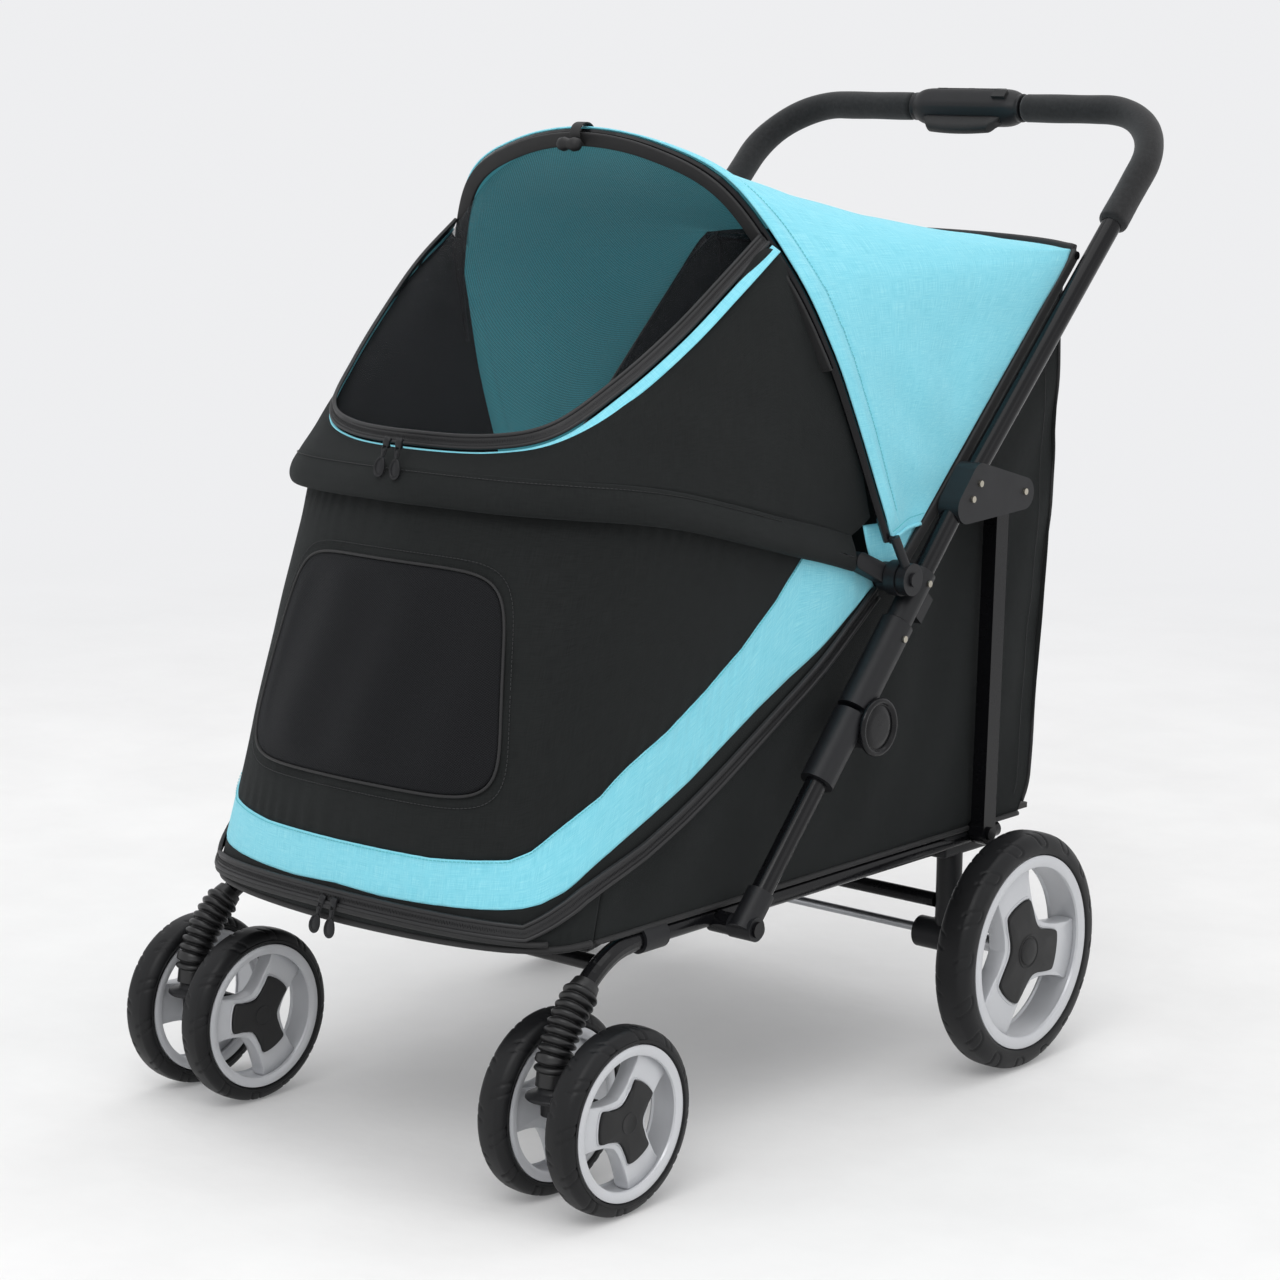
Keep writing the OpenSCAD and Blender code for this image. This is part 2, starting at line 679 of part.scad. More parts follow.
module front_cap() {
  cap(74.5, front_w, 15, front_turn);
}

left_rail();
right_rail();
cross_tubes();
rail_clamps();
axle_posts();
rear_axle();
floor_board();
mattress();
tub_walls();
front_panel();
bellows();
strut_tubes();
strut_feet();
knee_lower_shells();
handle_tube();
foam_grips();
handle_housing();
knee_upper_shells();
knee_caps();
leg_brackets();
hub_brackets();
frame_rivets();
canopy_rear_bar();
canopy();
release_lever();
lock_button();
rear_legs();
waist_hoop();
hoop_sockets();
collar();
canopy_bow();
bow_sockets();
mesh_window();
window_pulls();
panel_pulls();
left_brake_pedal();
right_brake_pedal();
left_plunger();
right_plunger();
left_fork();
right_fork();
at_rear(1) rear_tyre();  // left_rear_tyre
at_rear(1) rear_rim();  // left_rear_rim
at_rear(1) rear_cap();  // left_rear_cap
at_rear(-1) rear_tyre();  // right_rear_tyre
at_rear(-1) rear_rim();  // right_rear_rim
at_rear(-1) rear_cap();  // right_rear_cap
at_front(1, 1) front_tyre();  // left_outer_tyre
at_front(1, 1) front_rim();  // left_outer_rim
at_front(1, 1) front_cap();  // left_outer_cap
at_front(1, -1) front_tyre();  // left_inner_tyre
at_front(1, -1) front_rim();  // left_inner_rim
at_front(1, -1) front_cap();  // left_inner_cap
at_front(-1, -1) front_tyre();  // right_inner_tyre
at_front(-1, -1) front_rim();  // right_inner_rim
at_front(-1, -1) front_cap();  // right_inner_cap
at_front(-1, 1) front_tyre();  // right_outer_tyre
at_front(-1, 1) front_rim();  // right_outer_rim
at_front(-1, 1) front_cap();  // right_outer_cap
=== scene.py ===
import json
import math

import bpy
import numpy as np
from mathutils import Matrix, Vector

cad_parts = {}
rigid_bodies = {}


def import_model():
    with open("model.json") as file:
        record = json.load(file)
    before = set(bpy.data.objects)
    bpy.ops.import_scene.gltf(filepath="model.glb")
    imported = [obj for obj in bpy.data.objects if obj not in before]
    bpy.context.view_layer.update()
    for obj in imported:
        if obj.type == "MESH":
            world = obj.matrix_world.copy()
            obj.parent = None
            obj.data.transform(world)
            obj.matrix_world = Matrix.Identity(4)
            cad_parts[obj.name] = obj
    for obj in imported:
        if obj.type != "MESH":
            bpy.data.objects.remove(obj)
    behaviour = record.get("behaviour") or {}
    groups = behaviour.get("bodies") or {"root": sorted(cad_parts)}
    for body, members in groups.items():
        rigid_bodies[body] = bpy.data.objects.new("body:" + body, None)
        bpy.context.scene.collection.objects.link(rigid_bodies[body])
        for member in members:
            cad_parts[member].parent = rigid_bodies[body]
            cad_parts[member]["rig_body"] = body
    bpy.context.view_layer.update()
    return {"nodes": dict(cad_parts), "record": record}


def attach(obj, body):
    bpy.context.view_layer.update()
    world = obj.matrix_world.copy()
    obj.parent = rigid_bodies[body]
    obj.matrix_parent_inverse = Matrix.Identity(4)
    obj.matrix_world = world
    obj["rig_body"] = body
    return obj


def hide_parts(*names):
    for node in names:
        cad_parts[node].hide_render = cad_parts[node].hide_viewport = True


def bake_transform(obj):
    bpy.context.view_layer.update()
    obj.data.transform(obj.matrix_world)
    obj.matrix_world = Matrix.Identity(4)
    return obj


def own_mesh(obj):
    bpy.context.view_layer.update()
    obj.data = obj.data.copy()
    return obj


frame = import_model()
nodes = frame["nodes"]
rng = np.random.default_rng(11)
SIDES = ((1, "left"), (-1, "right"))
PALE = (0.855, 0.858, 0.872, 1)
EDGED, FLAT = {}, {}

# ---- Camera, stage and light ----

AZ, EL, ROLL = math.radians(40.288), math.radians(10.427), math.radians(0.614)


def make_camera():
    cam = bpy.data.cameras.new("camera")
    cam.sensor_width, cam.lens = 36.0, 87.08
    cam.shift_x, cam.shift_y = -0.0047, 0.0021
    cam.clip_start, cam.clip_end = 0.05, 200
    obj = bpy.data.objects.new("camera", cam)
    back = Vector((math.sin(AZ) * math.cos(EL), -math.cos(AZ) * math.cos(EL), math.sin(EL)))
    right = (-back).cross(Vector((0, 0, 1))).normalized()
    up = right.cross(-back)
    r = right * math.cos(ROLL) + up * math.sin(ROLL)
    u = -right * math.sin(ROLL) + up * math.cos(ROLL)
    obj.matrix_world = Matrix.Translation((2.0698, -2.508, 1.0398)) @ Matrix((r, u, back)).transposed().to_4x4()
    bpy.context.scene.collection.objects.link(obj)
    bpy.context.scene.camera = obj


def area_light(name, place, target, size, watts, colour=(1, 1, 1)):
    lamp = bpy.data.lights.new(name, "AREA")
    lamp.shape, lamp.size, lamp.size_y = "RECTANGLE", size[0], size[1]
    lamp.energy, lamp.color = watts, colour
    obj = bpy.data.objects.new(name, lamp)
    obj.location = place
    obj.rotation_euler = (Vector(target) - Vector(place)).to_track_quat("-Z", "Y").to_euler()
    bpy.context.scene.collection.objects.link(obj)


# ---- Materials ----


class Nodes:
    """A principled material built node by node."""

    def __init__(self, name, **sockets):
        self.m = bpy.data.materials.new(name)
        self.m.use_nodes = True
        self.t = self.m.node_tree
        self.t.nodes.clear()
        self.out = self.t.nodes.new("ShaderNodeOutputMaterial")
        self.p = self.t.nodes.new("ShaderNodeBsdfPrincipled")
        self.t.links.new(self.p.outputs[0], self.out.inputs[0])
        for key, value in sockets.items():
            self.p.inputs[key.replace("_", " ")].default_value = value

    def node(self, kind, inputs=None, **attributes):
        n = self.t.nodes.new("ShaderNode" + kind)
        for key, value in attributes.items():
            setattr(n, key, value)
        for key, value in (inputs or {}).items():
            if isinstance(value, bpy.types.NodeSocket):
                self.t.links.new(value, n.inputs[key])
            else:
                n.inputs[key].default_value = value
        return n

    def math(self, operation, a, b=0.0, c=0.0):
        return self.node("Math", {0: a, 1: b, 2: c}, operation=operation).outputs[0]

    def mix(self, factor, a, b, blend="MIX"):
        n = self.node("Mix", {"Factor": factor}, data_type="RGBA", blend_type=blend)
        for key, value in ((6, a), (7, b)):
            if isinstance(value, bpy.types.NodeSocket):
                self.t.links.new(value, n.inputs[key])
            else:
                n.inputs[key].default_value = value
        return n.outputs[2]

    def ramp(self, factor, *stops):
        n = self.node("ValToRGB", {"Fac": factor})
        e = n.color_ramp.elements
        while len(e) < len(stops):
            e.new(0.5)
        for k, (place, colour) in enumerate(stops):
            e[k].position = place
            e[k].color = (*colour, 1) if len(colour) == 3 else colour
        return n.outputs[0]

    def place(self, space="Object", scale=(1, 1, 1), turn=(0, 0, 0)):
        source = self.node("TexCoord").outputs[space]
        return self.node("Mapping", {"Vector": source, "Scale": scale, "Rotation": turn}).outputs[0]

    def noise(self, where, scale, detail=3.0, rough=0.5):
        n = self.node("TexNoise", {"Vector": where, "Scale": scale, "Detail": detail, "Roughness": rough})
        return n.outputs["Fac"]

    def wave(self, where, scale, direction="X", distortion=0.0):
        n = self.node("TexWave", {"Vector": where, "Scale": scale, "Distortion": distortion},
                      bands_direction=direction, wave_profile="SIN")
        return n.outputs["Fac"]

    def bump(self, height, distance, strength=1.0, under=None):
        n = self.node("Bump", {"Height": height, "Distance": distance, "Strength": strength})
        if under is not None:
            self.t.links.new(under, n.inputs["Normal"])
        return n.outputs[0]

    def set(self, **links):
        for key, value in links.items():
            self.t.links.new(value, self.p.inputs[key.replace("_", " ")])
        return self.m


LINING_GLOW = 0.18


def weave_height(n, pitch):
    """Over and under threads of a plain weave, on UVs in metres."""
    where = n.place("UV")
    across, along = n.wave(where, 0.5 / pitch, "X"), n.wave(where, 0.5 / pitch, "Y")
    over = n.node("TexChecker", {"Vector": where, "Scale": 1 / pitch, "Color1": (1, 1, 1, 1),
                                 "Color2": (0, 0, 0, 1)}).outputs["Fac"]
    return n.math("ADD", n.math("MULTIPLY", across, over), n.math("MULTIPLY", along, n.math("SUBTRACT", 1.0, over)))


def black_fabric():
    n = Nodes("charcoal_polyester", Roughness=0.82, Sheen_Weight=0.05, Sheen_Roughness=0.45,
              Sheen_Tint=(0.62, 0.68, 0.7, 1), Specular_IOR_Level=0.13)
    tone = n.noise(n.place(), 7.0, 3)
    along = n.noise(n.place("UV", (60, 1400, 1)), 1.0, 2)
    across = n.noise(n.place("UV", (1400, 60, 1)), 1.0, 2)
    threads = n.math("MULTIPLY", n.math("ADD", along, across), 0.5)
    base = n.ramp(threads, (0.3, (0.0068, 0.0078, 0.008)), (0.62, (0.0155, 0.0172, 0.0172)))
    colour = n.mix(n.math("MULTIPLY", tone, 0.35), base, (0.0175, 0.0182, 0.0175, 1))
    rough = n.math("ADD", n.math("MULTIPLY", threads, 0.22), 0.7)
    soft = n.bump(n.noise(n.place(), 34.0, 2), 0.0012, 0.5)
    weave = n.bump(weave_height(n, 0.0008), 0.00022, 0.55, soft)
    return n.set(Base_Color=colour, Roughness=rough, Normal=weave)


def cyan_fabric(inside=False):
    """Streaky aqua cloth. The lining's weak emission stands in for daylight that comes through the cloth."""
    n = Nodes("aqua_lining" if inside else "aqua_heather", Roughness=0.8, Sheen_Weight=0.25, Sheen_Roughness=0.4,
              Sheen_Tint=(0.8, 0.97, 1, 1), Specular_IOR_Level=0.3)
    along = n.noise(n.place("UV", (45, 1700, 1)), 1.0, 3, 0.6)
    across = n.noise(n.place("UV", (1700, 45, 1)), 1.0, 3, 0.6)
    tone = n.noise(n.place(), 5.0, 3)
    threads = n.math("ADD", n.math("MULTIPLY", along, 0.55), n.math("MULTIPLY", across, 0.45))
    base = n.ramp(threads, (0.33, (0.165, 0.575, 0.7)), (0.5, (0.235, 0.7, 0.83)), (0.66, (0.42, 0.84, 0.92)))
    colour = n.mix(n.math("MULTIPLY", tone, 0.3), base, (0.215, 0.67, 0.8, 1))
    if inside:
        colour = n.mix(0.6, colour, (0.03, 0.4, 0.46, 1))
        n.p.inputs["Emission Strength"].default_value = LINING_GLOW
        n.set(Emission_Color=colour)
    soft = n.bump(n.noise(n.place(), 26.0, 2), 0.0014, 0.45)
    weave = n.bump(weave_height(n, 0.0009), 0.00024, 0.6, soft)
    return n.set(Base_Color=colour, Roughness=n.math("ADD", n.math("MULTIPLY", threads, 0.2), 0.68), Normal=weave)


def mesh_fabric(see_through):
    """Knitted air mesh: staggered round holes between fine ribs, on UVs in metres."""
    n = Nodes("knit_window" if see_through else "knit_panel", Roughness=0.65, Sheen_Weight=0.04,
              Sheen_Roughness=0.5, Sheen_Tint=(0.5, 0.55, 0.6, 1), Specular_IOR_Level=0.14)
    pitch = 0.0019
    holes = n.node("TexVoronoi", {"Vector": n.place("UV", (1 / pitch, 1.15 / pitch, 1), (0, 0, math.radians(30))),
                                  "Scale": 1.0, "Randomness": 0.12}, voronoi_dimensions="2D").outputs["Distance"]
    rib = n.node("MapRange", {"Value": holes, "From Min": 0.3, "From Max": 0.48}).outputs[0]
    fade = n.noise(n.place(), 6.0, 2)
    thread = (0.026, 0.028, 0.031, 1) if see_through else (0.0095, 0.010, 0.0115, 1)
    faded = (0.016, 0.016, 0.02, 1) if see_through else (0.006, 0.006, 0.008, 1)
    colour = n.mix(rib, (0.002, 0.0022, 0.0026, 1), thread)
    colour = n.mix(n.math("MULTIPLY", fade, 0.25), colour, faded)
    links = {"Base_Color": colour, "Normal": n.bump(rib, 0.0004, 0.7)}
    if see_through:
        links["Alpha"] = n.node("MapRange", {"Value": rib, "To Min": 0.1, "To Max": 0.52}).outputs[0]
    return n.set(**links)


def plain(name, colour, rough, grain=0.0003, scale=900.0, depth=0.5, vary=0.35, wear=None, **sockets):
    """Moulded or coated surface: fine grain in the bump, slow variation in colour and roughness."""
    n = Nodes(name, **sockets)
    where = n.place()
    slow, fine = n.noise(where, 9.0, 4), n.noise(where, scale, 2)
    dark = tuple(c * (1 - vary) for c in colour)
    light = tuple(min(1, c * (1 + vary)) for c in colour)
    tint = n.ramp(slow, (0.3, dark), (0.7, light))
    if wear:
        scuff = n.ramp(n.noise(where, 140.0, 5, 0.7), (0.6, (0, 0, 0)), (0.74, (1, 1, 1)))
        tint = n.mix(n.math("MULTIPLY", scuff, wear), tint, (*[min(1, c * 3 + 0.02) for c in colour], 1))
    roughness = n.math("ADD", n.math("MULTIPLY", n.noise(where, 60.0, 4), 0.16), rough - 0.08)
    return n.set(Base_Color=tint, Roughness=roughness, Normal=n.bump(fine, grain, depth))


def foam_material():
    n = Nodes("closed_cell_foam", Specular_IOR_Level=0.25, Sheen_Weight=0.15, Sheen_Roughness=0.6)
    where = n.place()
    pores = n.node("TexVoronoi", {"Vector": where, "Scale": 1100.0}).outputs["Distance"]
    colour = n.ramp(n.noise(where, 220.0, 4, 0.65), (0.35, (0.0045, 0.0045, 0.005)), (0.7, (0.0125, 0.0125, 0.0135)))
    rough = n.math("ADD", n.math("MULTIPLY", n.noise(where, 40.0, 3), 0.12), 0.8)
    return n.set(Base_Color=colour, Roughness=rough,
                 Normal=n.bump(pores, 0.0003, 0.5, n.bump(n.noise(where, 300.0, 3), 0.0003, 0.5)))


M = {
    "black": black_fabric(),
    "cyan": cyan_fabric(),
    "lining": cyan_fabric(True),
    "window": mesh_fabric(True),
    "insert": mesh_fabric(False),
    "binding": plain("black_binding_tape", (0.0065, 0.0065, 0.007), 0.66, 0.0003, 1400, 0.6, 0.3, Sheen_Weight=0.06),
    "zip": plain("zip_tape", (0.008, 0.008, 0.009), 0.5, 0.0002, 1500, 0.6, 0.3),
    "thread": plain("black_thread", (0.02, 0.021, 0.022), 0.55, 0.0001, 2500, 0.5, 0.3),
    "thread_cyan": plain("aqua_thread", (0.1, 0.5, 0.56), 0.6, 0.0001, 2500, 0.5, 0.2),
    "tube": plain("gloss_black_coating", (0.004, 0.004, 0.0048), 0.26, 0.00012, 260, 0.3, 0.2, 0.03,
                  Specular_IOR_Level=0.14, Coat_Weight=0.22, Coat_Roughness=0.12),
    "plastic": plain("grained_black_plastic", (0.0085, 0.0088, 0.0102), 0.44, 0.0002, 1500, 0.55, 0.25, 0.05,
                     Specular_IOR_Level=0.3),
    "cap": plain("satin_black_plastic", (0.016, 0.016, 0.0165), 0.5, 0.00025, 1300, 0.6, 0.2, 0.04,
                 Specular_IOR_Level=0.28),
    "steel": plain("zinc_steel", (0.5, 0.51, 0.53), 0.34, 0.0001, 700, 0.4, 0.15, 0.1, Metallic=1.0),
    "rivet": plain("nickel_rivet", (0.44, 0.41, 0.34), 0.33, 0.0001, 900, 0.4, 0.3, 0.25, Metallic=1.0),
    "foam": foam_material(),
    "gaiter": plain("gaiter_rubber", (0.006, 0.006, 0.0065), 0.4, 0.0001, 800, 0.35, 0.3, 0.05),
    "tyre": plain("foam_rubber_tyre", (0.0072, 0.0074, 0.0082), 0.45, 0.00015, 700, 0.5, 0.3, 0.06,
                  Specular_IOR_Level=0.26),
    "rim": plain("silver_grey_plastic", (0.56, 0.57, 0.59), 0.36, 0.00008, 800, 0.3, 0.05, 0.05,
                 Metallic=0.25, Coat_Weight=0.15, Coat_Roughness=0.25),
    "pad": plain("quilted_pad", (0.05, 0.055, 0.06), 0.85, 0.0004, 900, 0.7, 0.25, Sheen_Weight=0.3),
    "board": plain("hardboard", (0.03, 0.028, 0.026), 0.7, 0.0003, 500, 0.6, 0.3, 0.1),
}

# ---- Shapes ----


def vec(rows):
    return np.asarray(rows, float) / 1000.0


def curve(points, t):
    """Smooth curve through points, at places t counted in points."""
    p = np.asarray(points, float)
    n = len(p) - 1
    q = np.vstack([2 * p[0] - p[1], p, 2 * p[n] - p[n - 1]])
    t = np.clip(np.asarray(t, float), 0, n)
    k = np.minimum(t.astype(int), n - 1)
    f = (t - k)[..., None]
    a, b, c, d = q[k], q[k + 1], q[k + 2], q[k + 3]
    return 0.5 * (2 * b + (c - a) * f + (2 * a - 5 * b + 4 * c - d) * f**2 + (3 * b - a - 3 * c + d) * f**3)


def half(points, t):
    """The same for a curve that is mirrored in the middle plane: t is below 0 on the right side."""
    p = np.asarray(points, float)
    return curve(np.vstack([p[:0:-1] * [-1, 1, 1], p]), np.asarray(t, float) + len(p) - 1)


def even(points, step, closed=False):
    """Points at even steps along a line."""
    p = np.vstack([points, points[:1]]) if closed else np.asarray(points, float)
    s = path_length(p)
    n = max(2, int(round(s[-1] / step)))
    at = np.linspace(0, s[-1], n + 1)[: n if closed else n + 1]
    return np.stack([np.interp(at, s, p[:, k]) for k in range(3)], 1)


def unit(v):
    return v / np.maximum(np.linalg.norm(v, axis=-1, keepdims=True), 1e-12)


def grid_normals(g, face=None):
    """Normals of a grid. face, as (axis, sign), says which way the one in its middle points."""
    n = unit(np.cross(np.gradient(g, axis=0), np.gradient(g, axis=1)))
    if face and n[g.shape[0] // 2, g.shape[1] // 2, face[0]] * face[1] < 0:
        n = -n
    return n


def span_grid(a, b, s):
    """Grid of straight lines from each point of a line to the same point of another, at shares s."""
    return a[:, None] * (1 - s)[None, :, None] + b[:, None] * s[None, :, None]


def finish_mesh(name, verts, faces, material, uv=None, smooth=True):
    mesh = bpy.data.meshes.new(name)
    mesh.from_pydata([tuple(v) for v in verts], [], [tuple(f) for f in faces])
    if uv is not None:
        layer = mesh.uv_layers.new(name="UVMap")
        index = np.zeros(len(mesh.loops), int)
        mesh.loops.foreach_get("vertex_index", index)
        layer.data.foreach_set("uv", np.asarray(uv, np.float32)[index].ravel())
    mesh.polygons.foreach_set("use_smooth", [smooth] * len(mesh.polygons))
    mesh.validate()
    mesh.update()
    obj = bpy.data.objects.new(name, mesh)
    bpy.context.scene.collection.objects.link(obj)
    for m in material if isinstance(material, list) else [material]:
        obj.data.materials.append(M[m])
    return obj


def metre_uv(g):
    """UVs in metres from a grid's mean row and column lengths."""
    du = np.linalg.norm(np.diff(g, axis=0), axis=2)
    dv = np.linalg.norm(np.diff(g, axis=1), axis=2)
    u = np.vstack([np.zeros((1, g.shape[1])), np.cumsum(du, 0)]).mean(1)
    v = np.hstack([np.zeros((g.shape[0], 1)), np.cumsum(dv, 1)]).mean(0)
    return np.stack(np.meshgrid(u, v, indexing="ij"), -1).reshape(-1, 2)


def flat_size(name, g):
    """Notes a sheet's flat size from its grid: longest row and column, and its own area."""
    w = np.linalg.norm(np.diff(g, axis=0), axis=2).sum(0).max()
    l = np.linalg.norm(np.diff(g, axis=1), axis=2).sum(1).max()
    a = np.cross(g[1:, :-1] - g[:-1, :-1], g[:-1, 1:] - g[:-1, :-1])
    b = np.cross(g[1:, :-1] - g[1:, 1:], g[:-1, 1:] - g[1:, 1:])
    total = (np.linalg.norm(a, axis=2).sum() + np.linalg.norm(b, axis=2).sum()) / 2
    FLAT[name] = (float(w), float(l), float(total))


def thicken(obj, thick):
    """A second layer behind a sheet, with a closed rim. It takes the sheet's last material."""
    m = obj.modifiers.new("cloth", "SOLIDIFY")
    m.thickness, m.offset = thick, -1
    m.material_offset = len(obj.data.materials) - 1


def grid(name, g, material, thick=0.0, flip=False):
    """Sheet from a grid of points, as one layer or, with thick, as two."""
    base = np.arange(g.shape[0] * g.shape[1]).reshape(g.shape[:2])
    a, b, c, d = (k.ravel() for k in (base[:-1, :-1], base[1:, :-1], base[1:, 1:], base[:-1, 1:]))
    quads = np.stack([a, d, c, b] if flip else [a, b, c, d], 1)
    obj = finish_mesh(name, g.reshape(-1, 3), quads.tolist(), material, metre_uv(g))
    flat_size(name, g)
    if thick:
        thicken(obj, thick)
    return obj


def web(nu, nv, across=False):
    """Quads of a grid whose last column joins its first. across turns them over."""
    base = np.arange(nu * nv).reshape(nu, nv)
    nxt = np.roll(base, -1, axis=1)
    a, b, c, d = (k.ravel() for k in (base[:-1], nxt[:-1], nxt[1:], base[1:]))
    return np.stack([a, d, c, b] if across else [a, b, c, d], 1)


def ends(nu, nv, over=False):
    """End faces for such a grid. over turns them over."""
    first, last = list(range(nv)), list(range((nu - 1) * nv, nu * nv))
    return [first, last[::-1]] if over else [first[::-1], last]


def fan(g):
    """Points and faces of rings of points that share their first point."""
    nu, nv = g.shape[:2]
    verts = np.vstack([g[:1, 0], g[:, 1:].reshape(-1, 3)])
    idx = 1 + np.arange(nu * (nv - 1)).reshape(nu, nv - 1)
    nxt = np.roll(idx, -1, axis=0)
    faces = np.stack([idx[:, :-1].ravel(), idx[:, 1:].ravel(), nxt[:, 1:].ravel(), nxt[:, :-1].ravel()], 1).tolist()
    return verts, faces + [(0, int(idx[i, 0]), int(nxt[i, 0])) for i in range(nu)]


def give(o, body, node=None):
    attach(o, body)
    if node:
        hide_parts(node)


def frames_along(p, up=(0, 0, 1), closed=False):
    """Tangent, side and normal at each point of a line. up is one direction, or one for each point."""
    if closed:
        t = unit(np.roll(p, -1, 0) - np.roll(p, 1, 0))
    else:
        t = unit(np.gradient(p, axis=0))
    n = np.broadcast_to(np.asarray(up, float), p.shape)
    side = unit(np.cross(t, n))
    return t, side, unit(np.cross(side, t))


def path_length(p):
    """Length along a line up to each of its points."""
    return np.concatenate([[0], np.cumsum(np.linalg.norm(np.diff(p, axis=0), axis=1))])


def sweep(name, p, profile, material, up=(0, 0, 1), closed=False, scale=None):
    """Closed profile of (side, normal) offsets swept along a line."""
    p = np.asarray(p, float)
    _, side, normal = frames_along(p, up, closed)
    prof = np.asarray(profile, float)
    s = np.ones(len(p)) if scale is None else np.asarray(scale, float)
    g = (p[:, None, :] + side[:, None, :] * (prof[None, :, 0:1] * s[:, None, None])
         + normal[:, None, :] * (prof[None, :, 1:2] * s[:, None, None]))
    if closed:
        g = np.concatenate([g, g[:1]], 0)
    nu, nv = g.shape[:2]
    faces = web(nu, nv).tolist()
    verts = g.reshape(-1, 3)
    uv = np.stack(np.meshgrid(path_length(g[:, 0]), path_length(prof), indexing="ij"), -1).reshape(-1, 2)
    if closed:
        last = (nu - 1) * nv
        faces = [[i - last if i >= last else i for i in f] for f in faces]
        verts, uv = verts[:last], uv[:last]
    else:
        faces += ends(nu, nv)
    return finish_mesh(name, verts, faces, material, uv)


def circle(r, sides=12, squash=1.0):
    a = np.arange(sides) * 2 * math.pi / sides
    return np.stack([r * np.cos(a), r * squash * np.sin(a)], 1)


def rounded(w, h, r, steps=3):
    """Rounded rectangle profile."""
    rows = []
    for cx, cy, a0 in ((w / 2 - r, h / 2 - r, 0), (r - w / 2, h / 2 - r, 90), (r - w / 2, r - h / 2, 180),
                       (w / 2 - r, r - h / 2, 270)):
        for k in range(steps + 1):
            a = math.radians(a0 + 90 * k / steps)
            rows.append((cx + r * math.cos(a), cy + r * math.sin(a)))
    return rows


def tube(name, p, r, material, sides=12, up=(0, 0, 1), closed=False):
    radii = None if np.isscalar(r) else np.asarray(r)
    return sweep(name, p, circle(r if radii is None else 1.0, sides), material, up, closed, radii)


def join(name, objs):
    """Joins pieces into one mesh object."""
    bpy.ops.object.select_all(action="DESELECT")
    for o in objs:
        for m in list(o.modifiers):
            bpy.context.view_layer.objects.active = o
            bpy.ops.object.modifier_apply(modifier=m.name)
        o.select_set(True)
    bpy.context.view_layer.objects.active = objs[0]
    bpy.ops.object.join()
    objs[0].name = name
    objs[0].data.name = name
    return objs[0]


def stitches(name, p, up, material="thread", step=0.0042, length=0.0029, r=0.00042, lift=0.0004):
    """A row of sewn stitches along a line: short bowed threads that dip in at both ends."""
    p = np.asarray(p, float)
    s = path_length(p)
    at = np.arange(step / 2, s[-1] - step / 2, step)
    n = np.broadcast_to(np.asarray(up, float), p.shape)
    verts, faces = [], []
    for c in at:
        rows = []
        for k, h in ((-0.5, -1.0), (-0.3, 0.5), (0.3, 0.5), (0.5, -1.0)):
            q = np.array([np.interp(c + k * length, s, p[:, j]) for j in range(3)])
            nn = unit(np.array([np.interp(c, s, n[:, j]) for j in range(3)]))
            rows.append((q + nn * (lift + h * r * 0.8), nn))
        t = unit(rows[-1][0] - rows[0][0])
        for q, nn in rows:
            side = unit(np.cross(t, nn))
            for a in range(5):
                w = a * 2 * math.pi / 5
                verts.append(q + r * (side * math.cos(w) + nn * math.sin(w)))
        b = len(verts) - 20
        for i in range(3):
            for a in range(5):
                low, high, nxt = b + i * 5, b + (i + 1) * 5, (a + 1) % 5
                faces.append((low + a, low + nxt, high + nxt, high + a))
        faces += [tuple(b + a for a in range(4, -1, -1)), tuple(b + 15 + a for a in range(5))]
    return finish_mesh(name, verts, faces, material)


WAVES = [(unit(rng.normal(size=3)), rng.uniform(14, 42), rng.uniform(0, 6.28)) for _ in range(9)]


def ripple(p):
    """Slow uneven ripples, about -1 to 1."""
    total = np.zeros(p.shape[:-1])
    for direction, k, phase in WAVES:
        total += np.sin((p @ direction) * k * 2.2 + phase + 0.8 * np.sin((p @ direction[[1, 2, 0]]) * k))
    return total / 4.5


def smoothstep(x, a, b):
    t = np.clip((x - a) / (b - a), 0, 1)
    return t * t * (3 - 2 * t)


# Seams: control points of the left half, from the middle plane outwards, in millimetres
LOW = vec([[0, -522, 266], [110, -513, 264], [186, -491, 261], [226, -456, 258], [236, -415, 264],
           [237, -300, 299], [237, -200, 347], [237, -100, 411], [237, -25, 478], [237, 12, 514]])
HIGH = vec([[0, -428, 634], [110, -411, 632], [178, -381, 630], [212, -338, 626], [226, -285, 616],
            [233, -215, 598], [236, -140, 578], [237, -70, 560], [237, -22, 548], [237, 4, 541]])
HOOP = vec([[0, -434, 650], [110, -417, 648], [181, -387, 646], [217, -342, 641], [232, -285, 630],
            [239, -215, 612], [242, -140, 592], [243, -80, 577], [243, -38, 565]])
ZIP = vec([[0, -417, 693], [92, -403, 695], [148, -374, 709], [177, -317, 748], [196, -255, 794],
           [206, -196, 840], [208, -138, 880]])
COLLAR_TOP = vec([[0, -420, 686], [94, -406, 688], [151, -376, 702], [181, -320, 741], [201, -258, 787],
                  [211, -199, 833], [218, -132, 870], [250, -58, 716], [252, -18, 604]])
BOW = [[0, 473], [92, 459], [170, 419], [222, 330], [246, 250], [256, 180], [264, 85], [268, 42]]
HUB = (6, 542)
LEAN = math.radians(22)
REAR = vec([[0, 340, 868], [150, 339, 866], [238, 335, 860], [255, 326, 850], [256, 262, 788],
            [256, 190, 717], [256, 118, 646], [256, 62, 590]])


